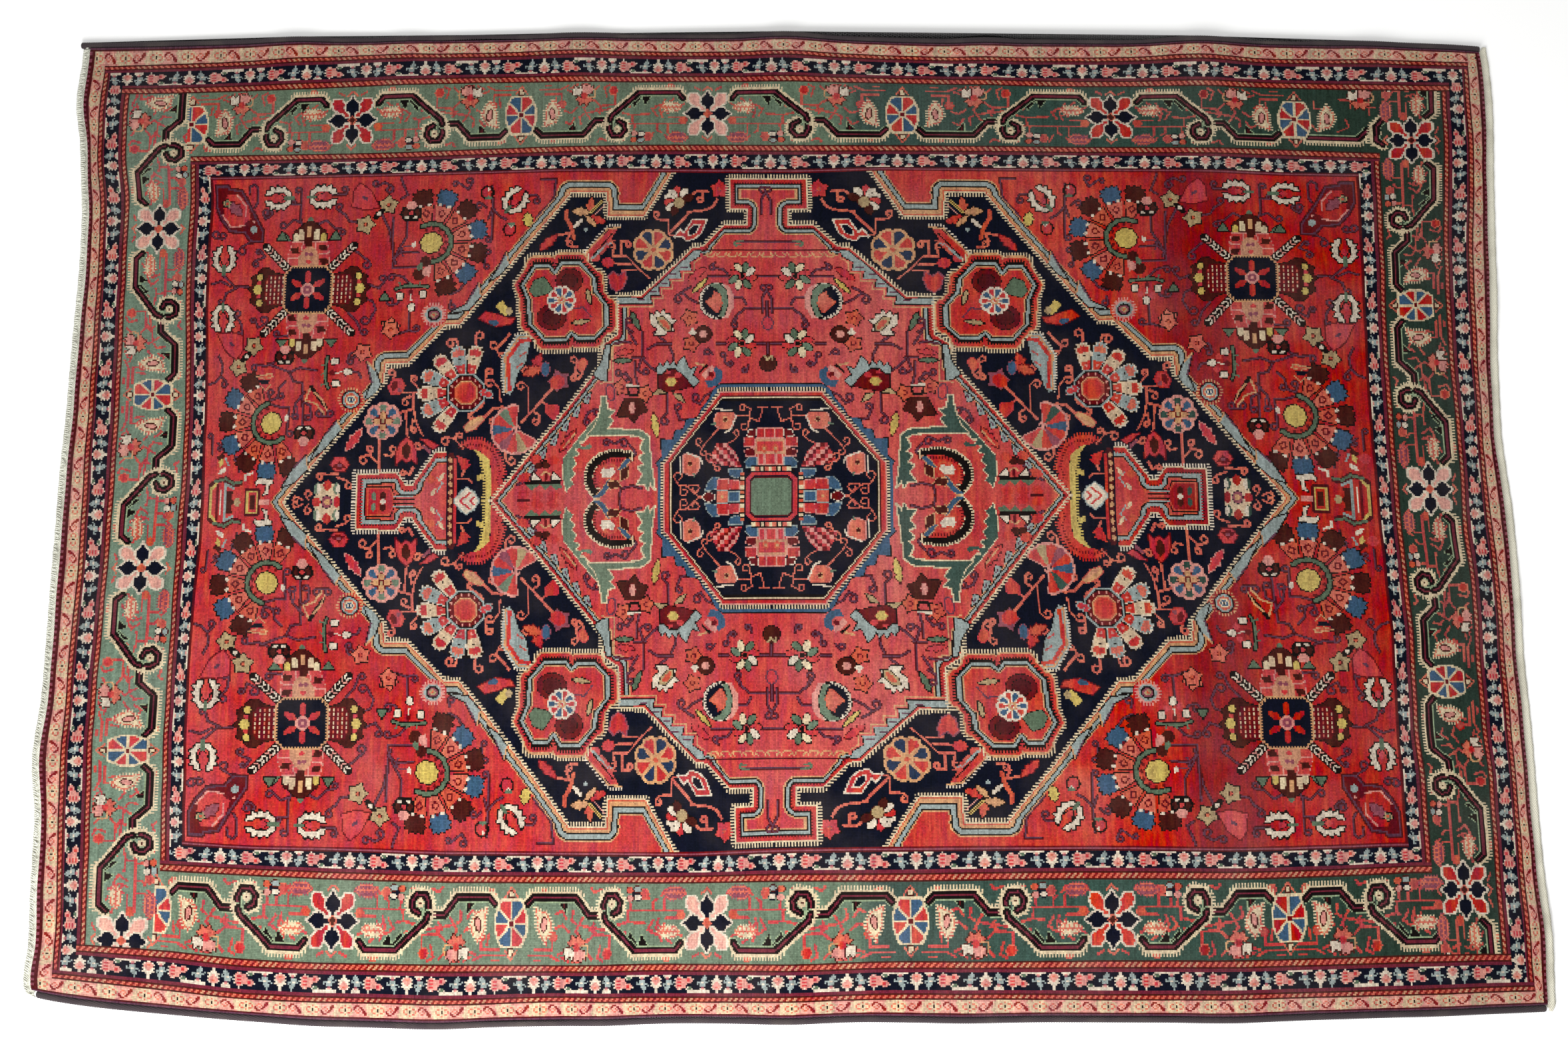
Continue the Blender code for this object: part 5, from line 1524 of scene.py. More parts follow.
def woolGroup():
    """spun and knotted wool: every knot and every row a little lighter or darker, with a tuft's height"""
    group, given, out = groupWith(
        "knottedWool",
        [("Yarn", "NodeSocketColor", (0.5, 0.1, 0.1, 1)), ("Knots", "NodeSocketVector", None),
         ("Place", "NodeSocketVector", None), ("Knot Spread", "NodeSocketFloat", 0.2),
         ("Row Spread", "NodeSocketFloat", 0.1), ("Wear", "NodeSocketFloat", 0.3)],
        [("Colour", "NodeSocketColor"), ("Height", "NodeSocketFloat"), ("Roughness", "NodeSocketFloat")])
    knots, place = given.outputs["Knots"], given.outputs["Place"]
    cell = addNode(group, "ShaderNodeVectorMath", {"operation": "FLOOR"}, {0: knots}).outputs[0]
    inCell = addNode(group, "ShaderNodeVectorMath", {"operation": "FRACTION"}, {0: knots}).outputs[0]
    perKnot = addNode(group, "ShaderNodeTexWhiteNoise", {"noise_dimensions": "2D"}, {"Vector": cell}).outputs["Value"]
    cellParts = addNode(group, "ShaderNodeSeparateXYZ", None, {0: cell})
    perRow = addNode(group, "ShaderNodeTexWhiteNoise", {"noise_dimensions": "1D"}, {"W": cellParts.outputs[0]})
    stretch = addNode(group, "ShaderNodeVectorMath", {"operation": "MULTIPLY"}, {0: place}, {1: (1.0, 0.16, 1.0)})
    streak = addNode(group, "ShaderNodeTexNoise", {"noise_dimensions": "3D"}, {"Vector": stretch.outputs[0]},
                     {"Scale": 125.0, "Detail": 4.0, "Roughness": 0.6}).outputs["Fac"]
    broad = addNode(group, "ShaderNodeTexNoise", {"noise_dimensions": "3D"}, {"Vector": place},
                    {"Scale": 9.0, "Detail": 5.0, "Roughness": 0.6}).outputs["Fac"]
    fibre = addNode(group, "ShaderNodeTexNoise", {"noise_dimensions": "3D"}, {"Vector": place},
                    {"Scale": 1400.0, "Detail": 3.0, "Roughness": 0.7}).outputs["Fac"]
    # brightness = 1 + the spreads
    knotPart = mathNode(group, "MULTIPLY", mathNode(group, "SUBTRACT", perKnot, 0.5), given.outputs["Knot Spread"])
    rowPart = mathNode(group, "MULTIPLY", mathNode(group, "SUBTRACT", perRow.outputs["Value"], 0.5),
                       given.outputs["Row Spread"])
    streakPart = mathNode(group, "MULTIPLY", mathNode(group, "SUBTRACT", streak, 0.5), 0.54)
    fibrePart = mathNode(group, "MULTIPLY", mathNode(group, "SUBTRACT", fibre, 0.5), 0.26)
    bright = mathNode(group, "ADD", mathNode(group, "ADD", knotPart, rowPart), mathNode(group, "ADD", streakPart, fibrePart))
    bright = mathNode(group, "ADD", bright, 0.55)
    # the lighter streaks of a dye lot lean to orange and the darker ones to crimson
    hue = mathNode(group, "MULTIPLY_ADD", streak, 0.055, 0.47)
    strong = mathNode(group, "MULTIPLY_ADD", broad, -0.3, 1.145)
    dyed = addNode(group, "ShaderNodeHueSaturation", None,
                   {"Color": given.outputs["Yarn"], "Hue": hue, "Saturation": strong})
    lit = addNode(group, "ShaderNodeVectorMath", {"operation": "SCALE"}, {0: dyed.outputs[0], "Scale": bright})
    # worn patches show the paler root of the yarn
    worn = mathNode(group, "MULTIPLY", mathNode(group, "SUBTRACT", broad, 0.45), given.outputs["Wear"], clamp=True)
    pale = addNode(group, "ShaderNodeMix", {"data_type": "RGBA"}, {"Factor": worn, 6: lit.outputs[0]},
                   {7: (0.41, 0.31, 0.25, 1)})
    group.links.new(pale.outputs[2], out.inputs["Colour"])
    # a rounded tuft in each cell, split by the two warps it is tied on
    parts = addNode(group, "ShaderNodeSeparateXYZ", None, {0: inCell})
    waveU = mathNode(group, "SINE", mathNode(group, "MULTIPLY", parts.outputs[0], math.pi))
    waveV = mathNode(group, "SINE", mathNode(group, "MULTIPLY", parts.outputs[1], math.pi))
    tuft = mathNode(group, "POWER", mathNode(group, "MULTIPLY", waveU, waveV), 0.5)
    rough = mathNode(group, "MULTIPLY_ADD", perKnot, 0.5, tuft)
    height = mathNode(group, "MULTIPLY_ADD", fibre, 0.9, rough)
    group.links.new(height, out.inputs["Height"])
    group.links.new(mathNode(group, "MULTIPLY_ADD", broad, 0.12, 0.86), out.inputs["Roughness"])
    return group


def weaveGroup():
    """plain weave or twisted thread, drawn by two sets of waves in the piece's own coordinates"""
    group, given, out = groupWith(
        "plainWeave",
        [("Colour", "NodeSocketColor", (0.6, 0.6, 0.5, 1)), ("Place", "NodeSocketVector", None),
         ("Thread X", "NodeSocketFloat", 900.0), ("Thread Y", "NodeSocketFloat", 2600.0),
         ("Soil", "NodeSocketFloat", 0.4)],
        [("Colour", "NodeSocketColor"), ("Height", "NodeSocketFloat"), ("Roughness", "NodeSocketFloat")])
    parts = addNode(group, "ShaderNodeSeparateXYZ", None, {0: given.outputs["Place"]})
    wobble = addNode(group, "ShaderNodeTexNoise", None, {"Vector": given.outputs["Place"]},
                     {"Scale": 120.0, "Detail": 3.0}).outputs["Fac"]
    x = mathNode(group, "MULTIPLY_ADD", wobble, 2.0, mathNode(group, "MULTIPLY", parts.outputs[0], given.outputs["Thread X"]))
    y = mathNode(group, "MULTIPLY_ADD", wobble, 2.0, mathNode(group, "MULTIPLY", parts.outputs[1], given.outputs["Thread Y"]))
    over = mathNode(group, "MULTIPLY", mathNode(group, "SINE", x), mathNode(group, "SINE", y))
    height = mathNode(group, "MULTIPLY_ADD", over, 0.5, 0.5)
    fine = addNode(group, "ShaderNodeTexNoise", None, {"Vector": given.outputs["Place"]},
                   {"Scale": 900.0, "Detail": 3.0}).outputs["Fac"]
    broad = addNode(group, "ShaderNodeTexNoise", None, {"Vector": given.outputs["Place"]},
                    {"Scale": 22.0, "Detail": 4.0}).outputs["Fac"]
    # painted shade: the colour is darker between the threads and lighter on their crowns, and fine noise adds the
    # fibres' own lighter and darker tone
    threadShadeAndTone = mathNode(group, "MULTIPLY_ADD", height, 0.35, mathNode(group, "MULTIPLY_ADD", fine, 0.35, 0.66))
    lit = addNode(group, "ShaderNodeVectorMath", {"operation": "SCALE"}, {0: given.outputs["Colour"], "Scale": threadShadeAndTone})
    dirty = mathNode(group, "MULTIPLY", mathNode(group, "SUBTRACT", broad, 0.48), mathNode(
        group, "MULTIPLY", given.outputs["Soil"], 4.0), clamp=True)
    soiled = addNode(group, "ShaderNodeMix", {"data_type": "RGBA"}, {"Factor": dirty, 6: lit.outputs[0]},
                     {7: (0.24, 0.21, 0.15, 1)})
    group.links.new(soiled.outputs[2], out.inputs["Colour"])
    group.links.new(mathNode(group, "MULTIPLY_ADD", fine, 0.6, height), out.inputs["Height"])
    group.links.new(mathNode(group, "MULTIPLY_ADD", broad, 0.1, 0.82), out.inputs["Roughness"])
    return group


wool = woolGroup()
weave = weaveGroup()


def newMaterial(name, sheen=0.0, specular=0.3):
    material = bpy.data.materials.new(name)
    material.use_nodes = True
    tree = material.node_tree
    shader = tree.nodes["Principled BSDF"]
    shader.inputs["Sheen Weight"].default_value = sheen
    shader.inputs["Sheen Roughness"].default_value = 0.55
    shader.inputs["Specular IOR Level"].default_value = specular
    return material, tree, shader


def finishWith(tree, shader, node, strength, distance):
    tree.links.new(node.outputs["Colour"], shader.inputs["Base Color"])
    tree.links.new(node.outputs["Roughness"], shader.inputs["Roughness"])
    bump = addNode(tree, "ShaderNodeBump", None, {"Height": node.outputs["Height"]},
                   {"Strength": strength, "Distance": distance})
    tree.links.new(bump.outputs["Normal"], shader.inputs["Normal"])


pileFinish = {"knotSpread": 0.24, "rowSpread": 0.11, "wear": 0.125, "bumpStrength": 0.55, "bumpDistance": 0.0009,
              "sheen": 0.0}


def pileMaterial():
    material, tree, shader = newMaterial("woolPile", pileFinish["sheen"], 0.05)
    node = addNode(tree, "ShaderNodeGroup", {"node_tree": wool})
    colour = addNode(tree, "ShaderNodeAttribute", {"attribute_name": "yarn"})
    knots = addNode(tree, "ShaderNodeUVMap", {"uv_map": "knots"})
    place = addNode(tree, "ShaderNodeTexCoord")
    tree.links.new(colour.outputs["Color"], node.inputs["Yarn"])
    tree.links.new(knots.outputs["UV"], node.inputs["Knots"])
    tree.links.new(place.outputs["Object"], node.inputs["Place"])
    node.inputs["Knot Spread"].default_value = pileFinish["knotSpread"]
    node.inputs["Row Spread"].default_value = pileFinish["rowSpread"]
    node.inputs["Wear"].default_value = pileFinish["wear"]
    finishWith(tree, shader, node, pileFinish["bumpStrength"], pileFinish["bumpDistance"])
    return material


def threadMaterial(name, colour, threadX, threadY, soil, bump=0.6, distance=0.0006):
    material, tree, shader = newMaterial(name, 0.12, 0.25)
    node = addNode(tree, "ShaderNodeGroup", {"node_tree": weave})
    place = addNode(tree, "ShaderNodeTexCoord")
    tree.links.new(place.outputs["Object"], node.inputs["Place"])
    node.inputs["Colour"].default_value = (*colour, 1)
    node.inputs["Thread X"].default_value = threadX
    node.inputs["Thread Y"].default_value = threadY
    node.inputs["Soil"].default_value = soil
    finishWith(tree, shader, node, bump, distance)
    return material


# ---- the pile, in strips that lie side by side ----
pile = {
    "strips": 8,
    "tileKnots": 8,  # no patch of one colour is longer than this
    "foldsInMap": 3,  # how often a strip is folded to fill its square map
    "top": 8.0,  # of the clipped pile over the underside
    "skirt": 6.4,  # how far its edge reaches down
    "wander": 0.22,  # how far a knot strays, in millimetres
    "seed": 11,
}
dyeLots = {  # where a yarn changes along the rug: yarn: ((u, red, green, blue), ...) in sRGB
    "red": ((-1018, 208, 72, 68), (-828, 204, 66, 60), (-640, 188, 54, 50), (-500, 188, 56, 52), (-400, 200, 64, 58),
            (-320, 192, 58, 54), (60, 192, 56, 50), (120, 199, 69, 59), (200, 197, 65, 54), (320, 201, 67, 53),
            (420, 207, 67, 48), (500, 199, 55, 40), (538, 189, 46, 36), (556, 153, 28, 28), (628, 157, 28, 28),
            (652, 178, 40, 32), (690, 193, 50, 38), (730, 193, 50, 38), (770, 184, 45, 36), (1018, 192, 47, 36)),
    "coral": ((-420, 200, 78, 74), (20, 200, 72, 68), (80, 206, 94, 86), (180, 206, 92, 84), (215, 200, 76, 68),
              (420, 200, 76, 68)),
    "sage": ((-951, 121, 142, 121), (-870, 117, 136, 117), (-840, 112, 130, 107), (-240, 111, 127, 106),
             (100, 107, 126, 104), (128, 66, 85, 77), (300, 61, 84, 75), (500, 58, 83, 73), (700, 49, 70, 59),
             (860, 44, 61, 50), (951, 45, 61, 52)),
}


def toLinear(values):
    values = np.asarray(values, float) / 255
    return np.where(values <= 0.04045, values / 12.92, ((values + 0.055) / 1.055) ** 2.4)


def strayTables():
    chance = np.random.default_rng(pile["seed"])
    shape = (cloth["knotsWide"] + 1, cloth["knotsLong"] + 1)
    return chance.uniform(-1, 1, shape), chance.uniform(-1, 1, shape)


def knotColours(number, u):
    """linear colour at each corner, from the yarn's number and its place along the rug"""
    shelf = toLinear([yarns[name] for name in yarns])
    found = shelf[number]
    for name, lots in dyeLots.items():
        chosen = number == yarnNumber[name]
        table = np.array(lots, float)
        for channel in range(3):
            lot = toLinear(table[:, channel + 1])
            found[chosen, channel] = np.interp(u[chosen], table[:, 0], lot)
    return np.concatenate([found, np.ones((len(found), 1))], axis=1)


def pileStrip(index, stray, material):
    perStrip = cloth["knotsWide"] // pile["strips"]
    columns, firstRow = cloth["knotsLong"], index * perStrip
    bpy.ops.object.select_all(action="DESELECT")
    bpy.ops.mesh.primitive_grid_add(x_subdivisions=columns, y_subdivisions=perStrip, size=2)
    strip = bpy.context.object
    strip.name = strip.data.name = f"pile_strip_{index + 1}"
    mesh = strip.data
    faces = len(mesh.polygons)
    centres = np.empty(faces * 3, np.float32)
    mesh.polygons.foreach_get("center", centres)
    centres = centres.reshape(-1, 3)
    column = np.clip(((centres[:, 0] + 1) / 2 * columns).astype(int), 0, columns - 1)
    row = np.clip(((centres[:, 1] + 1) / 2 * perStrip).astype(int), 0, perStrip - 1)
    yarnOfFace = chart[firstRow + row, column].astype(np.int32)
    tile = (row // pile["tileKnots"]) * 1000 + column // pile["tileKnots"]
    # an edge stays where the yarn changes or a tile ends
    edgeOfCorner = np.empty(len(mesh.loops), np.int32)
    mesh.loops.foreach_get("edge_index", edgeOfCorner)
    faceOfCorner = np.repeat(np.arange(faces), 4)
    keep = np.zeros(len(mesh.edges), bool)
    for value in (yarnOfFace, tile):
        lowest = np.full(len(mesh.edges), 10 ** 9)
        highest = np.full(len(mesh.edges), -1)
        np.minimum.at(lowest, edgeOfCorner, value[faceOfCorner])
        np.maximum.at(highest, edgeOfCorner, value[faceOfCorner])
        keep |= lowest != highest
    mesh.edges.foreach_set("use_seam", keep)
    label = mesh.attributes.new("yarnOfFace", "INT", "FACE")
    label.data.foreach_set("value", yarnOfFace)
    bpy.ops.object.mode_set(mode="EDIT")
    bpy.ops.mesh.select_all(action="SELECT")
    bpy.ops.mesh.dissolve_limited(angle_limit=0.01, use_dissolve_boundaries=False, delimit={"SEAM"})
    bpy.ops.mesh.mark_seam(clear=True)
    bpy.ops.object.mode_set(mode="OBJECT")
    count = len(mesh.vertices)
    points = np.empty(count * 3, np.float32)
    mesh.vertices.foreach_get("co", points)
    points = points.reshape(-1, 3)
    knotX = np.rint((points[:, 0] + 1) / 2 * columns).astype(int)
    knotY = firstRow + np.rint((points[:, 1] + 1) / 2 * perStrip).astype(int)
    u = knotX * knotLong - cloth["halfLength"]
    v = knotY * knotWide - cloth["halfWidth"]
    onSeam = (knotY == firstRow) | (knotY == firstRow + perStrip) | (knotX == 0) | (knotX == columns)
    free = np.where(onSeam, 0.0, pile["wander"])
    x, y = onFloor(u, v)
    x = x + 0.35 * np.sin(v * 0.061 + 0.4 * np.sin(u * 0.011)) + free * stray[0][knotY, knotX]
    y = y + free * stray[1][knotY, knotX]
    z = liftAt(x, y) + pile["top"]
    mesh.vertices.foreach_set("co", np.stack([x, y, z], 1).ravel() * mm)
    # yarn colour, the map of the knots and the folded map that fills a square
    corners = np.empty(len(mesh.loops), np.int32)
    mesh.loops.foreach_get("vertex_index", corners)
    totals = np.empty(len(mesh.polygons), np.int32)
    mesh.polygons.foreach_get("loop_total", totals)
    numbers = np.empty(len(mesh.polygons), np.int32)
    mesh.attributes["yarnOfFace"].data.foreach_get("value", numbers)
    faceOfLoop = np.repeat(np.arange(len(mesh.polygons)), totals)
    colour = mesh.color_attributes.new("yarn", "FLOAT_COLOR", "CORNER")
    colour.data.foreach_set("color", knotColours(numbers[faceOfLoop], u[corners]).ravel().astype(np.float32))
    mesh.attributes.remove(mesh.attributes["yarnOfFace"])
    while mesh.uv_layers:
        mesh.uv_layers.remove(mesh.uv_layers[0])
    bakeMap = mesh.uv_layers.new(name="OFBake")
    foldKnots = pile["tileKnots"] * math.ceil(columns / pile["foldsInMap"] / pile["tileKnots"])
    middleOfFace = np.zeros(len(mesh.polygons))
    np.add.at(middleOfFace, faceOfLoop, knotX[corners])
    fold = np.minimum((middleOfFace / totals // foldKnots).astype(int), pile["foldsInMap"] - 1)[faceOfLoop]
    across = (knotX[corners] - fold * foldKnots) / foldKnots
    up = (knotY[corners] - firstRow) / perStrip
    bakeMap.data.foreach_set("uv", np.stack([0.003 + 0.994 * across,
                                             (fold + 0.006 + 0.988 * up) / pile["foldsInMap"]], 1).ravel())
    knotMap = mesh.uv_layers.new(name="knots")
    knotMap.data.foreach_set("uv", np.stack([knotX[corners], knotY[corners]], 1).astype(np.float32).ravel())
    mesh.uv_layers.active = bakeMap
    bakeMap.active_render = True
    # the cut edge of the pile turns down to the foundation
    bpy.ops.object.mode_set(mode="EDIT")
    bpy.ops.mesh.select_all(action="DESELECT")
    bpy.ops.mesh.select_mode(type="EDGE")
    bpy.ops.mesh.select_non_manifold(extend=False, use_wire=False, use_boundary=True, use_multi_face=False,
                                     use_non_contiguous=False, use_verts=False)
    bpy.ops.mesh.mark_sharp()  # so that the strips' tops are shaded as one
    bpy.ops.mesh.extrude_edges_move(TRANSFORM_OT_translate={"value": (0, 0, -pile["skirt"] * mm)})
    bpy.ops.object.mode_set(mode="OBJECT")
    mesh.polygons.foreach_set("use_smooth", np.ones(len(mesh.polygons), bool))
    mesh.materials.append(material)
    mesh.update()
    return strip


# ---- the back, the side cords and the woven ends ----
edges = {
    "cordWidth": 10.0,
    "cordHeight": 8.2,
    "farCord": (-1040.5, 1011.5),
    "nearCord": (-1012.2, 1025.6),
    "wrapPitch": 3.4,  # of the wool wound round a side cord
    "wrapDepth": 0.55,
    "wrapSlant": 1.3,
    "bandThickness": 2.4,
    "leftBandWidth": 13.6,
    "rightBandWidth": 13.7,
    "tuftPitch": 3.05,
    "tuftReach": (8.6, 11.8),
    "tuftRise": 6.4,
    "backCells": (256, 174),
    "seed": 5,
}
edgeFinish = {"cord": (0.025, 0.016, 0.019), "leftBand": (0.71, 0.71, 0.60), "rightBand": (0.70, 0.67, 0.54), "tuft": (0.80, 0.80, 0.69),
              "back": (0.42, 0.30, 0.22)}


def meshPoints(mesh):
    points = np.empty(len(mesh.vertices) * 3, np.float32)
    mesh.vertices.foreach_get("co", points)
    return points.reshape(-1, 3).astype(float)


def gridPiece(name, cellsAlong, cellsAcross, place):
    """a grid whose 0..1 coordinates go through place(t, s) to millimetres"""
    bpy.ops.object.select_all(action="DESELECT")
    bpy.ops.mesh.primitive_grid_add(x_subdivisions=cellsAlong, y_subdivisions=cellsAcross, size=2)
    piece = bpy.context.object
    piece.name = piece.data.name = name
    points = meshPoints(piece.data)
    x, y, z = place((points[:, 0] + 1) / 2, (points[:, 1] + 1) / 2)
    piece.data.vertices.foreach_set("co", np.stack([x, y, z], 1).astype(np.float32).ravel() * mm)
    piece.data.update()
    return piece


def thicken(piece, thickness, offset):
    slab = piece.modifiers.new("thickness", "SOLIDIFY")
    slab.thickness, slab.offset = thickness * mm, offset
    slab.use_even_offset = False
    bpy.ops.object.modifier_apply(modifier=slab.name)


def smooth(piece, material):
    piece.data.polygons.foreach_set("use_smooth", np.ones(len(piece.data.polygons), bool))
    piece.data.materials.append(material)
    piece.data.update()
    return piece


def foundationPiece():
    """the knotted side underneath: a thin sheet on the floor in one woven brown"""
    def place(t, s):
        u = (2 * t - 1) * cloth["halfLength"]
        v = (2 * s - 1) * cloth["halfWidth"]
        x, y = onFloor(u, v)
        return x, y, liftAt(x, y)

    piece = gridPiece("rug_back", *edges["backCells"], place)
    thicken(piece, 2.2, 1.0)
    return smooth(piece, threadMaterial("knottedBack", edgeFinish["back"], 3000, 2100, 0.5))


def sideCord(side):
    first, last = edges["farCord"] if side == "far" else edges["nearCord"]
    outward = 1 if side == "far" else -1
    edge = edgeOf[side]
    wraps = round((last - first) / edges["wrapPitch"])
    around = 12

    def place(t, s):
        angle = -2 * math.pi * s * outward
        x = first + (last - first) * t
        turn = t * wraps * 2 * math.pi
        depth = edges["wrapDepth"] * (0.5 + 0.5 * np.cos(turn + angle * edges["wrapSlant"]))
        ending = np.clip(np.minimum(t, 1 - t) * (last - first) / 3.0, 0, 1)
        closing = 0.55 + 0.45 * np.sqrt(1 - (1 - ending) ** 2)
        halfWide = (edges["cordWidth"] / 2 - depth) * closing
        halfHigh = (edges["cordHeight"] / 2 - depth) * closing
        middle = edge(x) - outward * edges["cordWidth"] / 2
        y = middle + halfWide * np.cos(angle)
        z = liftAt(x, middle) + edges["cordHeight"] / 2 + halfHigh * np.sin(angle)
        return x, y, np.maximum(z, liftAt(x, middle) + 0.05)

    piece = gridPiece("selvedge_" + side, wraps * 4, around, place)
    bpy.ops.object.mode_set(mode="EDIT")
    bpy.ops.mesh.select_all(action="SELECT")
    bpy.ops.mesh.remove_doubles(threshold=0.00002)
    bpy.ops.mesh.select_all(action="DESELECT")
    bpy.ops.mesh.select_mode(type="EDGE")
    bpy.ops.mesh.select_non_manifold(extend=False, use_wire=False, use_boundary=True, use_multi_face=False,
                                     use_non_contiguous=False, use_verts=False)
    bpy.ops.mesh.edge_face_add()
    bpy.ops.mesh.select_all(action="SELECT")
    bpy.ops.mesh.normals_make_consistent(inside=False)
    bpy.ops.object.mode_set(mode="OBJECT")
    return smooth(piece, cordWool)


def wovenEnd(side):
    edge = edgeOf[side]
    lowY, highY = min(outerEdge[side]), max(outerEdge[side])
    width = edges[side + "BandWidth"]
    inward = 1 if side == "left" else -1
    rows = {"left": 5, "right": 4}[side]

    def place(t, s):
        y = lowY + (highY - lowY) * t
        rounded = np.clip(np.minimum(t, 1 - t) * (highY - lowY) / 8.0, 0.35, 1)
        fray = 0.25 * np.sin(y * 1.9) + 0.2 * np.sin(y * 0.83 + 1.0)
        depth = s if side == "left" else 1 - s
        x = edge(y) + inward * (0.3 + depth * width * rounded + fray * (1 - depth))
        sag = 0.35 * np.sin(depth * math.pi * 1.0)
        return x, y, liftAt(x, y) + edges["bandThickness"] / 2 + 0.02 + sag

    piece = gridPiece("woven_end_" + side, 460, rows, place)
    thicken(piece, edges["bandThickness"] * 0.9, 0.0)
    bpy.ops.object.mode_set(mode="EDIT")
    bpy.ops.mesh.select_all(action="SELECT")
    bpy.ops.mesh.normals_make_consistent(inside=False)
    bpy.ops.object.mode_set(mode="OBJECT")
    return smooth(piece, bandWeave[side])


def warpTufts():
    """the clipped ends of the warp, turned back over the edge of the pile at the left end"""
    chance = np.random.default_rng(edges["seed"])
    edge = edgeOf["left"]
    lowY, highY = min(outerEdge["left"]) + 4, max(outerEdge["left"]) - 4
    count = int((highY - lowY) / edges["tuftPitch"])
    around, along = 6, 4
    bpy.ops.object.select_all(action="DESELECT")
    bpy.ops.mesh.primitive_grid_add(x_subdivisions=count * 2 - 1, y_subdivisions=1, size=2)
    bpy.ops.object.delete()
    places = []
    for index in range(count):
        y = lowY + (index + 0.5) * edges["tuftPitch"] + chance.uniform(-0.5, 0.5)
        reach = chance.uniform(*edges["tuftReach"])
        places.append((y, reach, chance.uniform(-4.5, -1.0), chance.uniform(0.95, 1.45), chance.uniform(-0.3, 0.5)))
    pieces = []
    for part in range(3):
        chosen = places[part::3]

        def place(t, s):
            strand = np.minimum((t * len(chosen)).astype(int), len(chosen) - 1)
            return strand, s, t

        bpy.ops.mesh.primitive_cylinder_add(vertices=around, radius=1, depth=2, end_fill_type="NGON")
        piece = bpy.context.object
        piece.name = piece.data.name = f"warp_tufts_{part + 1}"
        bpy.ops.object.mode_set(mode="EDIT")
        bpy.ops.mesh.select_all(action="DESELECT")
        bpy.ops.object.mode_set(mode="OBJECT")
        for polygon in piece.data.polygons:
            polygon.select = len(polygon.vertices) == 4
        bpy.ops.object.mode_set(mode="EDIT")
        bpy.ops.mesh.subdivide_edgering(number_cuts=along - 1, interpolation="LINEAR", smoothness=0)
        bpy.ops.object.mode_set(mode="OBJECT")
        array = piece.modifiers.new("row", "ARRAY")
        array.count = len(chosen)
        array.use_relative_offset = False
        array.use_constant_offset = True
        array.constant_offset_displace = (4.0, 0, 0)
        bpy.ops.object.modifier_apply(modifier=array.name)
        points = meshPoints(piece.data)
        strand = np.rint(points[:, 0] / 4).astype(int)
        table = np.array(chosen)[strand]
        length = (points[:, 2] + 1) / 2
        sideways = points[:, 0] - 4 * strand
        taper = table[:, 3] * (1 - 0.45 * length ** 2)
        y = table[:, 0] + table[:, 2] * length + sideways * taper
        x = edge(y) + 0.6 + (table[:, 1] - 0.6) * length
        middle = 1.9 + edges["tuftRise"] * np.sin(length * math.pi * 0.62) + table[:, 4] * length
        z = liftAt(x, y) + middle + points[:, 1] * taper * 0.9
        x = x + points[:, 1] * 0.25
        piece.data.vertices.foreach_set("co", np.stack([x, y, np.maximum(z, 0.3)], 1).astype(np.float32).ravel() * mm)
        pieces.append(smooth(piece, tuftCotton))
    return pieces


cordWool = threadMaterial("selvedgeWool", edgeFinish["cord"], 900, 2600, 0.1)
bandWeave = {side: threadMaterial("bandWeave" + side.title(), edgeFinish[side + "Band"], 2600, 1500, 0.4, 0.9, 0.0010)
             for side in ("left", "right")}
tuftCotton = threadMaterial("tuftCotton", edgeFinish["tuft"], 900, 4200, 0.35, 0.9, 0.0010)


# ---- camera, floor and light ----
view = {
    "place": (0.013, -0.234, 1.864), "turnDegrees": (6.677, 0.418, 0.274), "lens": 30.56, "sensorWidth": 36.0,
}
studio = {
    "floorSize": 14.0, "floorColour": (0.97, 0.97, 0.96), "worldColour": (1.0, 1.0, 1.0), "worldStrength": 0.70,
    "lamps": (  # name, place, size, watts
        ("softboxNear", (-0.48, -1.41, 1.22), 1.2, 63.5),
        ("softboxLeft", (-2.6, -0.12, 2.6), 2.4, 3.0),
        ("softboxRight", (2.6, 0.4, 3.0), 2.4, 2.0),
        ("softboxFar", (0.6, 2.8, 2.8), 2.8, 4.0),
    ),
}


def addCamera():
    bpy.ops.object.camera_add(location=view["place"], rotation=[math.radians(turn) for turn in view["turnDegrees"]])
    camera = bpy.context.object
    camera.name = "studioCamera"
    camera.data.sensor_width = view["sensorWidth"]
    camera.data.lens = view["lens"]
    camera.data.clip_end = 60
    bpy.context.scene.camera = camera
    return camera


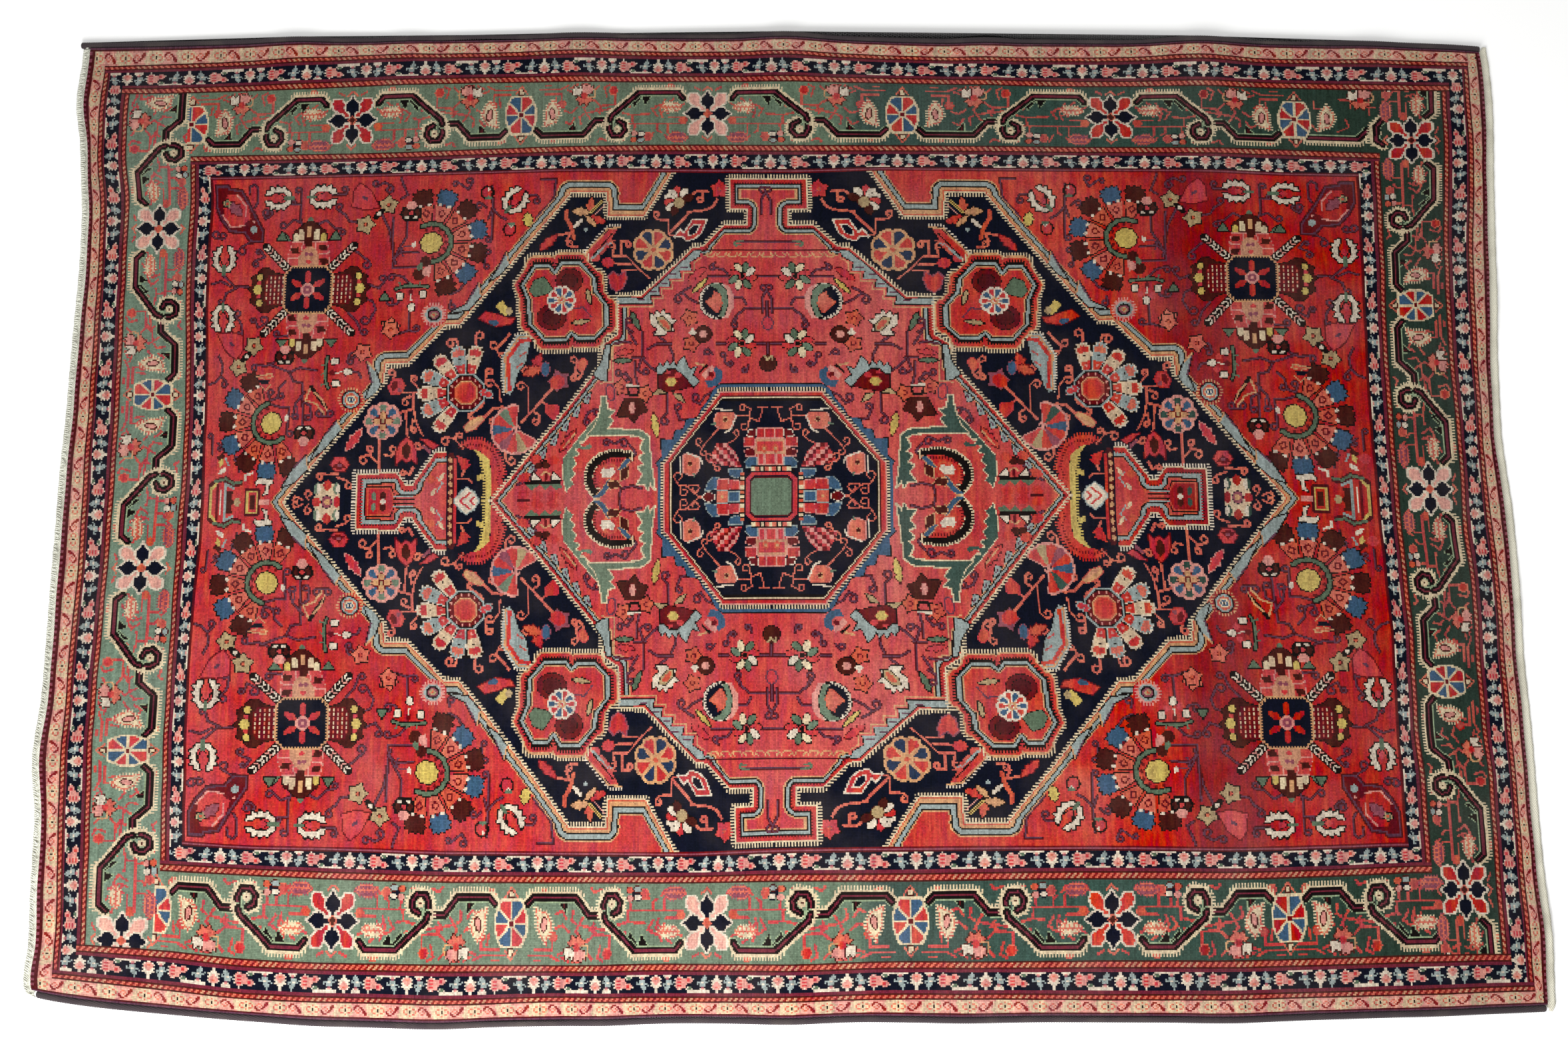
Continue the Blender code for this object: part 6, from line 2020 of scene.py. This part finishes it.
def addLamps():
    for name, place, size, watts in studio["lamps"]:
        bpy.ops.object.light_add(type="AREA", location=place)
        lamp = bpy.context.object
        lamp.name = name
        lamp.data.shape = "DISK"
        lamp.data.size = size
        lamp.data.energy = watts
        lamp.visible_camera = False
        aim = np.array([0.0, 0.0, 0.0]) - np.array(place)
        flat = math.hypot(aim[0], aim[1])
        lamp.rotation_euler = (math.atan2(flat, -aim[2]), 0, math.atan2(aim[1], aim[0]) - math.pi / 2)


def addFloor():
    half = studio["floorSize"] / 2
    bpy.ops.mesh.primitive_plane_add(size=2 * half, location=(0, 0, -0.0004))
    floor = bpy.context.object
    floor.name = floor.data.name = "studioFloor"
    material, tree, shader = newMaterial("palePaper", 0.0, 0.2)
    place = addNode(tree, "ShaderNodeTexCoord")
    grain = addNode(tree, "ShaderNodeTexNoise", None, {"Vector": place.outputs["Object"]}, {"Scale": 2.0, "Detail": 2.0})
    tone = addNode(tree, "ShaderNodeMix", {"data_type": "RGBA"}, {"Factor": grain.outputs["Fac"]},
                   {6: (*studio["floorColour"], 1), 7: (*[0.985 * part for part in studio["floorColour"]], 1)})
    tree.links.new(tone.outputs[2], shader.inputs["Base Color"])
    shader.inputs["Roughness"].default_value = 0.9
    floor.data.materials.append(material)


def setWorld():
    bpy.context.scene.view_settings.view_transform = "Standard"
    world = bpy.data.worlds.new("softDaylight")
    world.use_nodes = True
    back = world.node_tree.nodes["Background"]
    back.inputs[0].default_value = (*studio["worldColour"], 1)
    back.inputs[1].default_value = studio["worldStrength"]
    bpy.context.scene.world = world


drawRug()
print("chart drawn:", len(np.unique(chart)), "yarns")
stray = strayTables()
pileWool = pileMaterial()
stripPieces = [pileStrip(index, stray, pileWool) for index in range(pile["strips"])]
print("pile knotted:", sum(len(strip.data.polygons) for strip in stripPieces), "patches")
foundation = foundationPiece()
cords = [sideCord("far"), sideCord("near")]
bands = [wovenEnd("left"), wovenEnd("right")]
tufts = warpTufts()
print("edges finished")

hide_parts("pile_carpet")
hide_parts("side_cord_far")
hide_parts("side_cord_near")
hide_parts("kilim_end_left")
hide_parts("kilim_end_right")
for piece in stripPieces + [foundation] + cords + bands + tufts:
    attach(piece, "root")
for piece in stripPieces:
    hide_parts("pile_carpet")
for piece in tufts:
    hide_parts("kilim_end_left")

addFloor()
addLamps()
setWorld()
addCamera()
print("studio ready")
